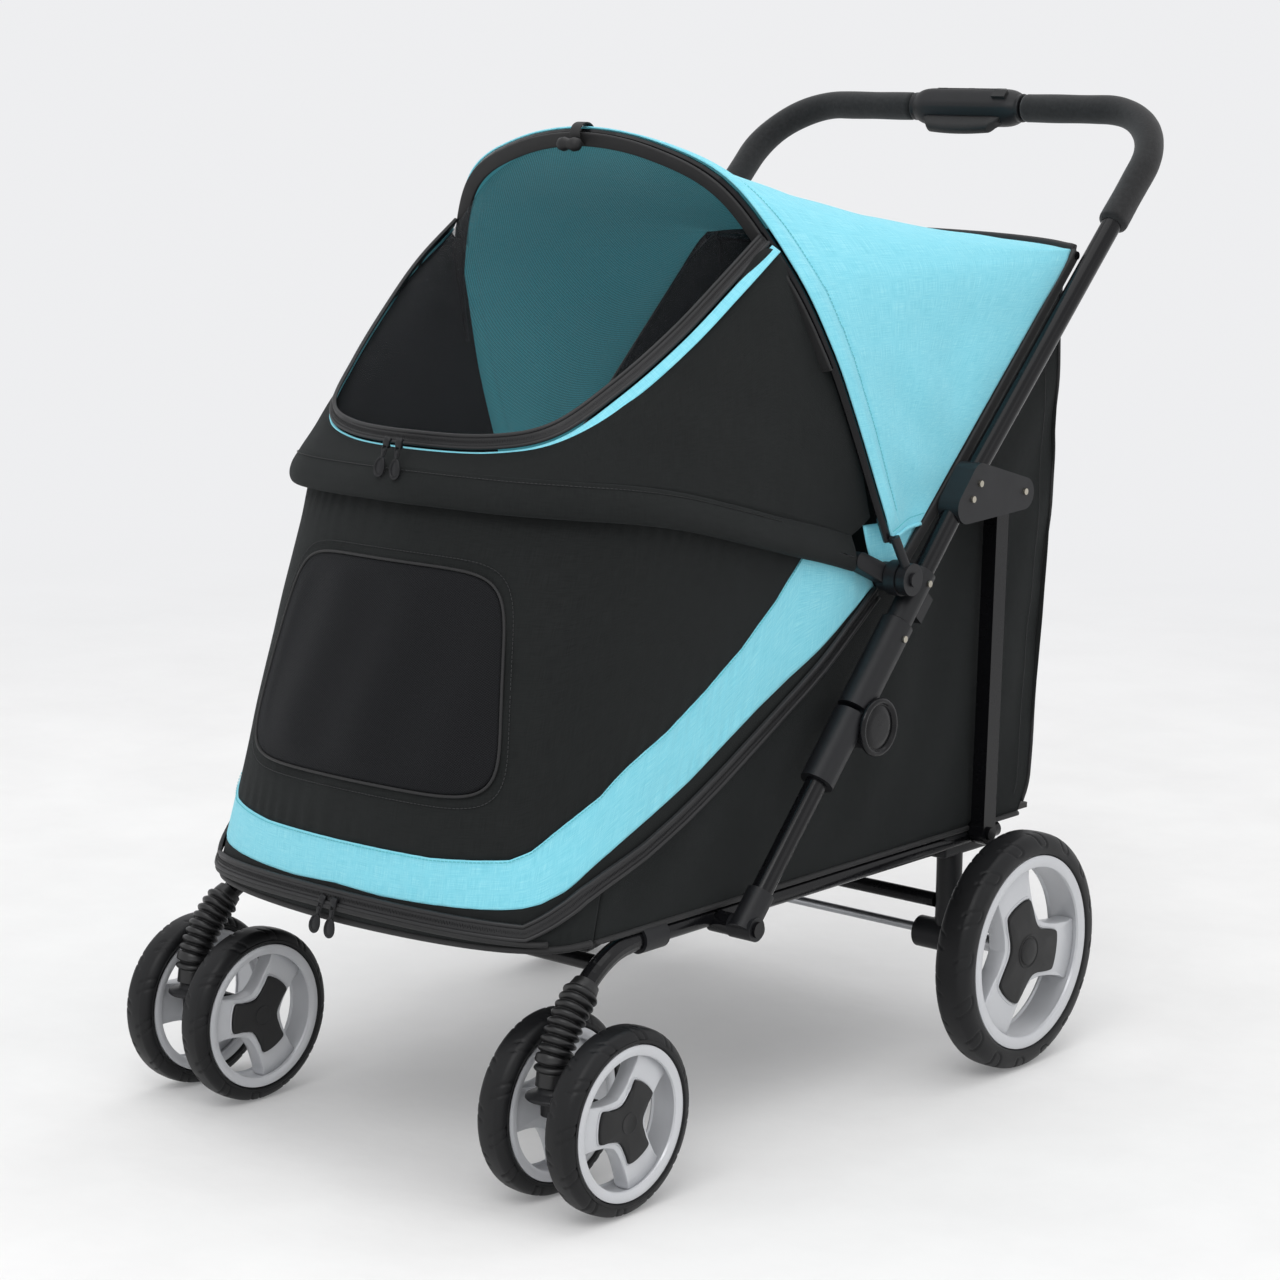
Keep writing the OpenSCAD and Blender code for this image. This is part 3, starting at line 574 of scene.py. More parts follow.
def bow_at(shape, out=0.0, ahead=0.0):
    """Points in the bow's plane from (half width, distance from the hub), moved out and ahead, in metres."""
    rows = []
    for x, s in shape:
        s2 = s + out * (1 if s > 300 else s / 300)
        x2 = x + out * min(1.0, x / 200)
        rows.append((x2, HUB[0] - s2 * math.sin(LEAN) - ahead * math.cos(LEAN),
                     HUB[1] + s2 * math.cos(LEAN) - ahead * math.sin(LEAN)))
    return vec(rows)


V_LOW = ([0, .5, 1, 1.5, 2, 2.3, 2.6, 2.8, 3, 3.2, 3.5, 4, 4.5, 5, 5.5, 6, 6.5, 7, 7.5, 8, 8.5, 9],
         [.036, .03, .035, .042, .051, .059, .073, .088, .1, .116, .139, .172, .213, .257, .313, .365, .402,
          .42, .44, .47, .53, .6])
V_UP = ([0, .5, 1, 1.5, 2, 2.3, 2.6, 2.8, 3, 3.2, 3.5, 4, 4.5, 5, 5.5, 6, 6.3, 6.45],
        [.147, .148, .15, .161, .173, .198, .241, .266, .287, .305, .327, .389, .448, .538, .646, .806, .95, 1.03])
V_ZIP = ([0, 2.4, 3, 3.5, 4, 4.5, 5, 5.5, 6, 6.5, 7, 8, 9],
         [0, 0, .05, .085, .105, .122, .155, .19, .227, .259, .28, .3, .36])
V_TOP = 1.03


def panel(t, v, out=0.0):
    """The door's surface: t counts along its seams, v goes from the lower edge to the waist."""
    t, v = np.broadcast_arrays(np.asarray(t, float), np.asarray(v, float))
    p = half(LOW, t) * (1 - v[..., None]) + half(HIGH, t) * v[..., None]
    k, s = np.abs(t), np.sin(np.pi * np.clip(v, 0, 1))
    belly = 0.012 * np.clip(1 - (k / 2.9) ** 2, 0, 1) * s
    tuck = 0.0075 * np.exp(-(((k - 3.3) / 0.85) ** 2)) * s
    side = np.sign(t)
    p = p + np.stack([side * (-tuck + 0.002 * smoothstep(k, 4.5, 6) * s), -belly + tuck, 0 * s], -1)
    if out:
        e = 1e-3
        du = panel(t + e, v) - panel(t - e, v)
        dv = panel(t, v + e) - panel(t, v - e)
        p = p + out * unit(np.cross(du, dv))
    return p


def panel_normal(t, v):
    return unit(panel(t, v, 0.001) - panel(t, v))


# ---- Lower cabin: door, band, mesh insert, zip ----

lower = []
T = np.linspace(-9, 9, 361)


def panel_strip(name, lo, hi, rows, material, t=T, out=0.0, gather=0.0):
    """Strip of the door's surface between two edges, with ripples and, along the seams, gathers."""
    k = np.abs(t)
    a, b = (np.interp(k, *x) if isinstance(x, tuple) else np.full_like(k, x) for x in (lo, hi))
    s = np.linspace(0, 1, rows)
    v = a[:, None] * (1 - s) + b[:, None] * s
    tt = np.broadcast_to(t[:, None], v.shape)
    g = panel(tt, v, out)
    n = grid_normals(g)
    edge = np.minimum(s, 1 - s)[None, :] * np.linalg.norm(g[:, -1] - g[:, 0], axis=1)[:, None]
    wave = ripple(g) * 0.0011 * smoothstep(edge, 0, 0.05)
    if gather:
        along = path_length(g[:, rows // 2])[:, None]
        pleat = np.sin(along * 2 * np.pi / 0.021 + 2.2 * np.sin(along * 31)) * (0.5 + 0.5 * np.sin(along * 17))
        wave = wave + gather * pleat * np.exp(-edge / 0.02) * smoothstep(edge, 0, 0.004)
    g = g + n * wave[..., None]
    return grid(name, g, material, 0.0016)


door_t = np.linspace(-6.44, 6.44, 300)
lower.append(panel_strip("door_panel", V_UP, V_TOP, 56, "black", door_t, gather=0.0011))
lower.append(panel_strip("door_band", V_LOW, V_UP, 22, "cyan", out=0.0009, gather=0.0012))
lower.append(panel_strip("door_hem", V_ZIP, V_LOW, 8, "black", out=0.0003))

# Stitches where the band meets the door
lower.append(stitches("band_seam", even(panel(door_t, np.interp(np.abs(door_t), *V_UP) - .006, 0.0016), 0.002),
                      np.array([0, -0.8, 0.4]), "thread_cyan"))

# Mesh insert: rounded patch in the door's own coordinates


def insert_outline(n, grow=0.0):
    a = np.linspace(0, 2 * np.pi, n, endpoint=False)
    c, s = np.cos(a), np.sin(a)
    e = 5.5
    rad = (np.abs(c) ** e + np.abs(s) ** e) ** (-1 / e)
    v = 0.58 + (0.272 + grow * 2.7) * rad * s
    w = 1.5 + 0.22 * (0.58 - v) / 0.27
    return (w + grow * 11) * rad * c, v


DOOR_OUT = np.array([0, -0.97, 0.24])
at, av = insert_outline(160)
rings = np.linspace(0, 1, 40)
g = panel(at[:, None] * rings, 0.58 + (av[:, None] - 0.58) * rings, 0.0026)
fold = 0.0016 * np.sin(g[..., 0] * 62 + 1.2 * np.sin(g[..., 2] * 20)) * smoothstep(1 - rings, 0, 0.25)[None, :]
g = g + DOOR_OUT * (fold + 0.0012 * smoothstep(1 - rings, 0, 0.15)[None, :])[..., None]


def disc(name, g, material, thick):
    """Closed patch from rings of points. Its flat size is its outline with some slack."""
    slack = 1.04
    verts, faces = fan(g)
    obj = finish_mesh(name, verts, faces, material, np.stack([verts[:, 0], verts[:, 2]], 1))
    flat_size(name, g)
    size = verts.max(0) - verts.min(0)
    FLAT[name] = (float(size[0] * slack), float(np.hypot(size[1], size[2]) * slack), FLAT[name][2])
    thicken(obj, thick)
    return obj


lower.append(disc("mesh_insert", g, "insert", 0.0014))
bt, bv = insert_outline(220, 0.002)
rim_line = even(panel(bt, bv, 0.0027), 0.004, True)
lower.append(tube("insert_piping", rim_line, 0.0014, "binding", 8, DOOR_OUT, True))
st, sv = insert_outline(220, 0.012)
ring = panel(st, sv, 0.0012)
lower.append(stitches("insert_stitches", even(np.vstack([ring, ring[:1]]), 0.002), DOOR_OUT))


def normals_for(line, t_line, normals):
    """Normals given at one line's points, taken at another line's nearest points."""
    return np.array([normals[np.argmin(((t_line - q) ** 2).sum(1))] for q in line])


BAR = ((-1, -1, 0), (1, -1, 0), (1, 1, 0), (-1, 1, 0), (-1, -.6, 1), (1, -.6, 1), (1, .6, 1), (-1, .6, 1))
BAR_FACES = ((0, 3, 2, 1), (4, 5, 6, 7), (0, 1, 5, 4), (1, 2, 6, 5), (2, 3, 7, 6), (3, 0, 4, 7))


def coil(name, line, normals, width=0.0042, pitch=0.0017, height=0.0009):
    """Zip teeth: short bars across the line, shifted to either side in turn."""
    p = even(line, pitch)
    _, side, nn = frames_along(p, normals_for(p, line, normals))
    t = unit(np.gradient(p, axis=0))
    verts, faces = [], []
    for i in range(len(p)):
        faces += [tuple(len(verts) + j for j in f) for f in BAR_FACES]
        shift = 0.125 * width * (1 if i % 2 else -1)
        verts += [p[i] + side[i] * (sx * width / 3.2 + shift) + t[i] * sy * pitch * 0.33 + nn[i] * (sz * height)
                  for sx, sy, sz in BAR]
    return finish_mesh(name, verts, faces, "zip", smooth=False)


def zip_pieces(prefix, line, normals, width, lip_at, lip_r, lip_lift, coil_lift):
    """Tape, two raised lips and the coil of a zip."""
    _, side, up = frames_along(line, normals)
    lips = [tube(f"{prefix}_lip_{k}", line + side * d + up * lip_lift, lip_r, "zip", 8, normals)
            for k, d in enumerate((-lip_at, lip_at))]
    return [sweep(f"{prefix}_tape", line, rounded(width, 0.0022, 0.001), "zip", normals), *lips,
            coil(f"{prefix}_coil", line + normals * coil_lift, normals)]


# Zip round the lower edge
zip_line = panel(T, np.interp(np.abs(T), *V_ZIP), 0.0032)
zip_mid = even(zip_line, 0.004)
zip_n = normals_for(zip_mid, zip_line, panel_normal(T, np.interp(np.abs(T), *V_ZIP)))
lower += zip_pieces("zip", zip_mid, zip_n, 0.017, 0.0062, 0.0021, 0.0012, 0.001)

# ---- Tub: skirt below the zip, side and rear walls ----

TUB_FLOOR, TUB_BACK, HALF_WIDTH = 0.2435, 0.34, 0.2378
REAR_EDGE = ([0, .05, .35, .65, 1], [.287, .306, .325, .339, .34])
HANDLE_EDGE = ([20, 44, 90, 127, 208, 290, 322, 334, 340], [540, 572, 630, 672, 754, 832, 852, 857, 858])
BASE = vec([[0, -519, 243.5], [110, -510, 243.5], [186, -488, 243], [226, -455, 242.5], [237, -418, 242.5]])
tt = np.linspace(-4, 4, 160)
s = np.linspace(0, 1, 16)
a, b = panel(tt, np.interp(np.abs(tt), *V_ZIP) * 0.98), half(BASE, tt)
g = span_grid(b, a, s)
bulge = 0.0055 * np.sin(np.pi * np.clip(s * 1.05, 0, 1)) * np.clip(1.0 - (np.abs(tt)[:, None] / 4) ** 3, 0, 1)
g = g + unit(np.stack([g[..., 0] * 0.8, g[..., 1] - (-0.33), 0 * g[..., 0]], -1)) * bulge[..., None]
lower.append(grid("tub_lip", g, "black", 0.0016))
lower.append(tube("lip_piping", even(half(BASE, tt) + [0, -0.002, 0.001], 0.004), 0.0036, "binding", 10))
tp = np.linspace(-2.9, 2.9, 140)
lower.append(tube("zip_piping", even(half(LOW, tp) + [0, -0.0055, -0.0085], 0.004), 0.003, "binding", 10))


def tub_side(sign):
    """Side wall: its top follows the zip, then the handle tube, and its rear edge leans back."""
    tk = np.linspace(4, 9, 70)
    front = panel(tk, np.interp(tk, *V_ZIP) * 0.98)
    back_y = np.linspace(0.03, TUB_BACK, 50)
    back_z = np.interp(back_y * 1000, *HANDLE_EDGE) / 1000
    top = np.vstack([front, np.stack([np.full_like(back_y, 0.2375), back_y, back_z], 1)])
    y = np.linspace(top[0, 1], TUB_BACK, 150)
    x_top, z_top = np.interp(y, top[:, 1], top[:, 0]), np.interp(y, top[:, 1], top[:, 2])
    s = np.linspace(0, 1, 50)
    rear = np.interp(s, *REAR_EDGE) - TUB_BACK
    yy = y[:, None] + rear[None, :] * smoothstep(y, 0.05, TUB_BACK)[:, None]
    yy = yy - 0.0155 * (1 - s)[None, :] * (1 - smoothstep(y, -0.402, -0.33))[:, None]
    zz = 0.2430 + (z_top - 0.2430)[:, None] * s
    hold = np.sin(np.pi * s)[None, :] * smoothstep(y, -0.41, -0.36)[:, None]
    ruck = 0.0018 * np.sin(yy * 62 - zz * 34 + 1.5 * np.sin(zz * 14)) * hold
    ruck = ruck + 0.0016 * ripple(np.stack([yy * 0 + 0.2, yy, zz], -1)) * hold
    x = x_top[:, None] * s + 0.2375 * (1 - s) - 0.003 * hold + ruck
    g = np.stack([x * sign, yy, zz], -1)
    return g


for sign, label in SIDES:
    wg = tub_side(sign)
    lower.append(grid(f"tub_side_{label}", wg, "black", 0.0018, flip=sign < 0))
    low_edge = even(wg[:, 0] + [0.0006 * sign, 0, 0.0005], 0.005)
    lower.append(tube(f"tub_base_piping_{label}", low_edge, 0.003, "binding", 8))
    rear_edge = even(wg[-1, 1:] + [0.0002 * sign, 0.0005, 0], 0.006)
    lower.append(tube(f"tub_rear_piping_{label}", rear_edge, 0.0024, "binding", 8, (0, 1, 0)))
    row = even(wg[-6, 2:-2] + [0.0012 * sign, 0, 0], 0.002)
    lower.append(stitches(f"tub_rear_stitches_{label}", row, (sign, 0, 0)))
    k = np.linspace(2.9, 8.6, 90)
    pipe = even(panel(sign * k, np.interp(k, *V_ZIP) * 0.98 - 0.022, 0.0012), 0.004)
    lower.append(tube(f"zip_side_piping_{label}", pipe, 0.0016, "binding", 8, (sign, 0, 0)))

# Rear wall, with two stitched seams across it
u = np.linspace(-1, 1, 80)
s = np.linspace(0, 1, 70)
yr = np.interp(s, *REAR_EDGE)
zr = TUB_FLOOR + (0.862 - TUB_FLOOR) * s
X, S = np.meshgrid(u * HALF_WIDTH, s, indexing="ij")
Y = np.broadcast_to(yr, X.shape) - 0.009 * (1 - (X / HALF_WIDTH) ** 2) * np.sin(np.pi * S)
Y = Y + 0.0015 * ripple(np.stack([X, Y * 0 + .3, S * 0.6], -1)) * np.sin(np.pi * S)
g = np.stack([X, Y, np.broadcast_to(zr, X.shape)], -1)
lower.append(grid("tub_rear", g, "black", 0.0018, flip=True))
for z_at in (0.36, 0.6):
    sag = 0.009 * (1 - u**2) * math.sin(math.pi * (z_at - TUB_FLOOR) / .603)
    line = np.stack([u * 0.236, np.interp(z_at, zr, yr) - sag + 0.0014, np.full_like(u, z_at)], 1)
    lower.append(stitches(f"rear_seam_{int(z_at * 100)}", even(line, 0.002), (0, 1, 0)))

STANDS_FOR = {"door_panel": "front_panel", "tub_side_left": "tub_walls"}
for o in lower:
    give(o, "chassis", STANDS_FOR.get(o.name))
    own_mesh(o)


# ---- Waist band and collar ----

upper = []
TH = np.linspace(-8, 8, 300)
hoop = half(HOOP, TH)
_, hs, _ = frames_along(hoop, (0, 0.24, 0.97))
outward = unit(np.stack([hs[:, 0], hs[:, 1], 0 * hs[:, 2]], 1))
if outward[150, 1] > 0:
    outward = -outward
PROFILE = [(-6, -12.5), (1, -14), (6.5, -13.6), (10.2, -11), (12, -6), (11.8, 0), (9.6, 7), (6.5, 13), (3.2, 18),
           (1, 22)]
prof = curve(np.array([(a, b, 0) for a, b in PROFILE]) / 1000, np.linspace(0, len(PROFILE) - 1, 26))
slack = 1 - 0.35 * smoothstep(np.abs(TH), 5.5, 8)
g = hoop[:, None] + outward[:, None] * (prof[None, :, 0:1] * slack[:, None, None])
g = g + np.array([0, 0, 1.0]) * prof[None, :, 1:2]
g = g + outward[:, None] * (0.0009 * ripple(g))[..., None]
upper.append(grid("waist_band", g, "black", 0.0015))
band_top = g[:, -1]
seam_line = even(g[:, 22] + outward * 0.0004, 0.002)
seam_line = seam_line[np.abs(np.linspace(-8, 8, len(seam_line))) < 6.4]
upper.append(stitches("waist_stitches", seam_line, (0, -0.5, 0.6)))

s = np.linspace(0, 1, 46)
top = half(COLLAR_TOP, TH)
g = span_grid(band_top, top, s)
n = grid_normals(g, (1, -1))
span = np.linalg.norm(top - band_top, axis=1)[:, None]
puff = 0.03 * span * np.sin(np.pi * s)[None, :] * (0.25 + 0.75 * smoothstep(np.abs(TH), 1.0, 3.5))[:, None]
g = g + n * (puff + 0.0012 * ripple(g) * smoothstep(np.minimum(s, 1 - s)[None, :] * span, 0, 0.04))[..., None]
collar = grid("collar_panel", g, "black", 0.0015)
upper.append(collar)

# Aqua trim and zip under the window
TZ = np.linspace(-6, 6, 260)
zl = half(ZIP, TZ)
zn = unit(zl - np.stack([zl[:, 0] * 0.2, zl[:, 1] * 0 - 0.16, zl[:, 2] * 0 + 0.66], 1))
_, zs, zn = frames_along(zl, zn)
down = -zs if zs[130, 2] > 0 else zs
strip_c = even(zl + down * 0.0112 + zn * 0.001, 0.004)
cn = normals_for(strip_c, zl, zn)
trim = sweep("window_trim", strip_c, rounded(0.0105, 0.0026, 0.0012), "cyan", cn)
tape_c = even(zl - down * 0.0035 + zn * 0.0016, 0.004)
upper += [trim, *zip_pieces("window_zip", tape_c, normals_for(tape_c, zl, zn), 0.0150, 0.0055, 0.0019, 0.001, 0.0009)]

for o in upper:
    if o is collar:
        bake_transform(o)
        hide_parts("collar")
    else:
        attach(o, "handle_frame")

# ---- Mesh window ----

W_TOP = bow_at([[0, 473], [45, 470], [92, 459], [135, 441], [170, 419], [198, 384], [212, 352]], -11, 4)
s = np.linspace(0, 1, 60)
lowz = half(ZIP, TZ) - down * 0.002
topw = half(W_TOP, TZ)
g = span_grid(lowz, topw, s)
n = grid_normals(g, (1, -1))
sag = -0.006 * np.sin(np.pi * s)[None, :] * np.clip(1 - (np.abs(TZ)[:, None] / 6.5) ** 2, 0, 1)
g = g + n * (sag + 0.0014 * ripple(g) * np.sin(np.pi * s)[None, :])[..., None]
window = grid("mesh_window_sheet", g, "window", 0.0)
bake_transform(window)
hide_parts("mesh_window")

B_IN = bow_at([[0, 473], [92, 459], [170, 419], [222, 330], [246, 250], [256, 180]], -4, 6.5)
TB = np.linspace(-4.2, 4.2, 220)
bl = even(half(B_IN, TB), 0.005)
plane_n = np.array([0, -math.cos(LEAN), -math.sin(LEAN)])
give(sweep("window_binding", bl, rounded(0.015, 0.0036, 0.0016), "binding", plane_n), "bow")

# ---- Canopy ----

FRONT = bow_at(BOW, 5, -3)
TC = np.linspace(-7, 7, 340)
f, r = half(FRONT, TC), half(REAR, TC)
s = np.linspace(0, 1, 90)
s2 = s**1.15
g = span_grid(f, r, s2)
k = np.abs(TC)[:, None]
S = np.broadcast_to(s2, g.shape[:2])
roof = np.clip(1 - (k / 3.1) ** 2, 0, 1)
g[..., 2] += -0.020 * np.sin(np.pi * S**0.8) * roof
flank = smoothstep(k, 3.0, 4.6)
g[..., 0] += np.sign(TC)[:, None] * (-0.007 * np.sin(np.pi * S)) * flank
n = grid_normals(g, (2, 1))
dist = np.linalg.norm(g - f[:, None], axis=2)
lip = 0.0038 * np.exp(-(((dist - 0.012) / 0.010) ** 2)) - 0.0018 * np.exp(-(((dist - 0.030) / 0.003) ** 2))
folds = 0.0022 * np.sin((g[..., 2] * 46 + g[..., 1] * 58) + 1.4 * np.sin(g[..., 2] * 19))
folds = folds * flank * np.sin(np.pi * S) ** 1.5
g = g + n * (lip * (1 - smoothstep(k, 6.2, 7)) + folds + 0.0016 * ripple(g) * np.sin(np.pi * S))[..., None]
canopy = grid("canopy_hood", g, ["cyan", "lining"], 0.0016)
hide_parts("canopy")
hood = [canopy]
line = np.array([g[i, np.argmin(np.abs(dist[i] - 0.0285))] + n[i, 5] * 0.0006 for i in range(14, 326)])
ln = np.array([n[i, 12] for i in range(14, 326)])
pts = even(line, 0.002)
hood.append(stitches("canopy_front_stitches", pts, normals_for(pts, line, ln), "thread_cyan"))
for sign, label in SIDES:
    idx = -1 if sign > 0 else 0
    edge = g[idx] + [0.0008 * sign, 0, 0.0]
    hem_line = even(g[idx - 5 * sign, 4:-4] + [0.0016 * sign, 0, 0], 0.002)
    hood.append(stitches(f"canopy_hem_stitches_{label}", hem_line, (sign, 0, 0), "thread_cyan"))
    hood.append(tube(f"canopy_hem_{label}", even(edge, 0.004), 0.0022, "cyan", 8, (sign, 0, 0)))
for o in hood:
    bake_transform(o)

# Lower gusset of the canopy, behind the bow's arms, and the channels that hold the canopy to the handle tube
GUSSET_FRONT = vec([[250, -24, 596], [251, -14, 566], [252, -2, 548]])
GUSSET_REAR = vec([[253, 70, 596], [254, 48, 572], [254, 24, 552]])
TUBE_LINE = vec([[0, 30, 541], [0, 127, 634], [0, 208, 715], [0, 322, 830], [0, 342, 851]])
for sign, label in SIDES:
    s = np.linspace(0, 1, 16)
    t3 = np.linspace(0, 2, 14)
    g = span_grid(curve(GUSSET_FRONT, t3), curve(GUSSET_REAR, t3), s)
    g = g + np.array([0.002, 0, 0]) * np.sin(g[..., 1:2] * 90)
    g[..., 0] *= sign
    give(grid(f"canopy_gusset_{label}", g, "cyan", 0.0014, flip=sign < 0), "handle_frame")
    line = curve(TUBE_LINE, np.linspace(0, 4, 70))
    line[:, 0] = 0.2555
    line = even(line, 0.005) * [sign, 1, 1] + [0, -0.004, 0.004]
    channel = sweep(f"canopy_channel_{label}", line, rounded(0.013, 0.006, 0.0022), "binding", (sign, 0, 0))
    give(channel, "handle_frame")

# Rear binding of the roof
rb = even(half(REAR, np.linspace(-2.6, 2.6, 80)) + [0, 0.004, -0.002], 0.005)
give(sweep("roof_rear_binding", rb, rounded(0.009, 0.016, 0.003), "binding"), "handle_frame")

# ---- Wheels ----


def lathe(name, rows, at, material, seg=96, sign=1, axis=0, caps=True):
    """Surface turned about a line through at, from (radius, distance along) rows."""
    rows = np.asarray(rows, float)
    a = np.arange(seg) * 2 * np.pi / seg
    c, s = rows[:, 0:1] * np.cos(a), rows[:, 0:1] * np.sin(a)
    along = np.broadcast_to(rows[:, 1:2] * sign, c.shape)
    g = np.stack([along, s, -c] if axis == 0 else [c, s, along], -1) + np.asarray(at, float)
    over = sign * (1 if axis == 0 else -1) < 0
    quads = web(len(rows), seg)
    faces = (quads[:, ::-1] if over else quads).tolist()
    if caps:
        faces += ends(len(rows), seg, over)
    return finish_mesh(name, g.reshape(-1, 3), faces, material)


def star(name, outline, rows, at, sign, turn, material):
    """Three-armed plate from rows of (share of the outline, inset, distance along the axle)."""
    ang = np.concatenate([np.radians(turn + k * 120 + outline[:, 0]) for k in range(3)])
    rad = np.tile(outline[:, 1], 3)
    n = len(ang)
    g = []
    for share, inset, x in rows:
        r = np.maximum(rad * share - inset, 0.0001)
        g.append(np.stack([np.full(n, x * sign), r * np.sin(ang), -r * np.cos(ang)], -1))
    g = np.array(g) + np.asarray(at, float)
    quads = web(len(rows), n, across=True)
    quads = quads[:, ::-1] if sign > 0 else quads
    return finish_mesh(name, g.reshape(-1, 3), quads.tolist() + ends(len(rows), n, sign > 0), material)


def crisp(obj, angle=34):
    """Flat look across edges sharper than angle."""
    obj.data.set_sharp_from_angle(angle=math.radians(angle))
    return obj


def star_outline(half_curve, step=40):
    """Both halves of one arm, from (angle from the arm, radius) points that run from the valley to the tip."""
    points = np.array([(a, r, 0) for a, r in half_curve], float)
    c = curve(points, np.linspace(0, len(half_curve) - 1, step))[:, :2]
    return np.vstack([c * [-1, 1], c[::-1][1:-1]])


def tyre_tread(name, at, sign, R, w, rim_r, rear):
    """Tyre, with moulded J grooves on both shoulders."""
    cshape = 0.36 * w
    prof = [(rim_r - .0006, -.40 * w), (rim_r + .0008, -.485 * w), (rim_r + .004, -.5 * w),
            (R - cshape - .001, -.5 * w)]
    prof += [(R - cshape + cshape * math.sin(math.radians(a)), -(w * .2 + w * .3 * math.cos(math.radians(a))))
             for a in range(6, 91, 12)]
    prof += [(R + .0003, -.1 * w), (R + .0004, 0)]
    prof += [(r, -x) for r, x in prof[-2::-1]]
    line_steps, seg, count, reach = (74, 480, 16, 0.0175) if rear else (66, 360, 12, 0.0135)
    hw, hh, rr = (0.0075, 0.0115, 0.0055) if rear else (0.0055, 0.0105, 0.0045)
    line = curve(np.array([(r, x, 0) for r, x in prof]), np.linspace(0, len(prof) - 1, line_steps))[:, :2]
    ang = np.arange(seg) * 2 * np.pi / seg
    b = path_length(line)
    t = unit(np.gradient(line, axis=0))
    nrm = np.stack([-t[:, 1], t[:, 0]], 1)
    if nrm[len(line) // 2, 0] < 0:
        nrm = -nrm
    period = 2 * np.pi * R / count
    A, B = np.meshgrid(ang * R, b, indexing="ij")
    mid = b[-1] / 2
    depth = np.zeros_like(A)
    for shoulder in (-1, 1):
        q = (B - mid) * shoulder - reach
        u = (A + shoulder * period * 0.25 + q * 0.55 + period / 2) % period - period / 2
        dx, dy = np.abs(u) - (hw - rr), np.abs(q) - (hh - rr)
        d = np.abs(np.hypot(np.maximum(dx, 0), np.maximum(dy, 0)) + np.minimum(np.maximum(dx, dy), 0) - rr)
        gone = smoothstep(-q, hh * 0.35, hh * 0.75) * (np.abs(u) < hw * 0.75) + smoothstep(u, hw * 2, hw * 3)
        depth += np.exp(-((d / 0.0011) ** 2)) * (1 - np.clip(gone, 0, 1))
    depth = 0.0013 * np.clip(depth, 0, 1)
    r = line[None, :, 0] - nrm[None, :, 0] * depth
    x = line[None, :, 1] - nrm[None, :, 1] * depth
    g = np.stack([x * sign, r * np.sin(ang)[:, None], -r * np.cos(ang)[:, None]], -1) + np.asarray(at)
    idx = np.arange(g.shape[0] * g.shape[1]).reshape(g.shape[:2])
    nxt, col = np.roll(idx, -1, axis=0), np.roll(idx, -1, axis=1)
    quads = np.stack([idx.ravel(), col.ravel(), np.roll(nxt, -1, axis=1).ravel(), nxt.ravel()], 1)
    if sign < 0:
        quads = quads[:, ::-1]
    return finish_mesh(name, g.reshape(-1, 3), quads.tolist(), "tyre")


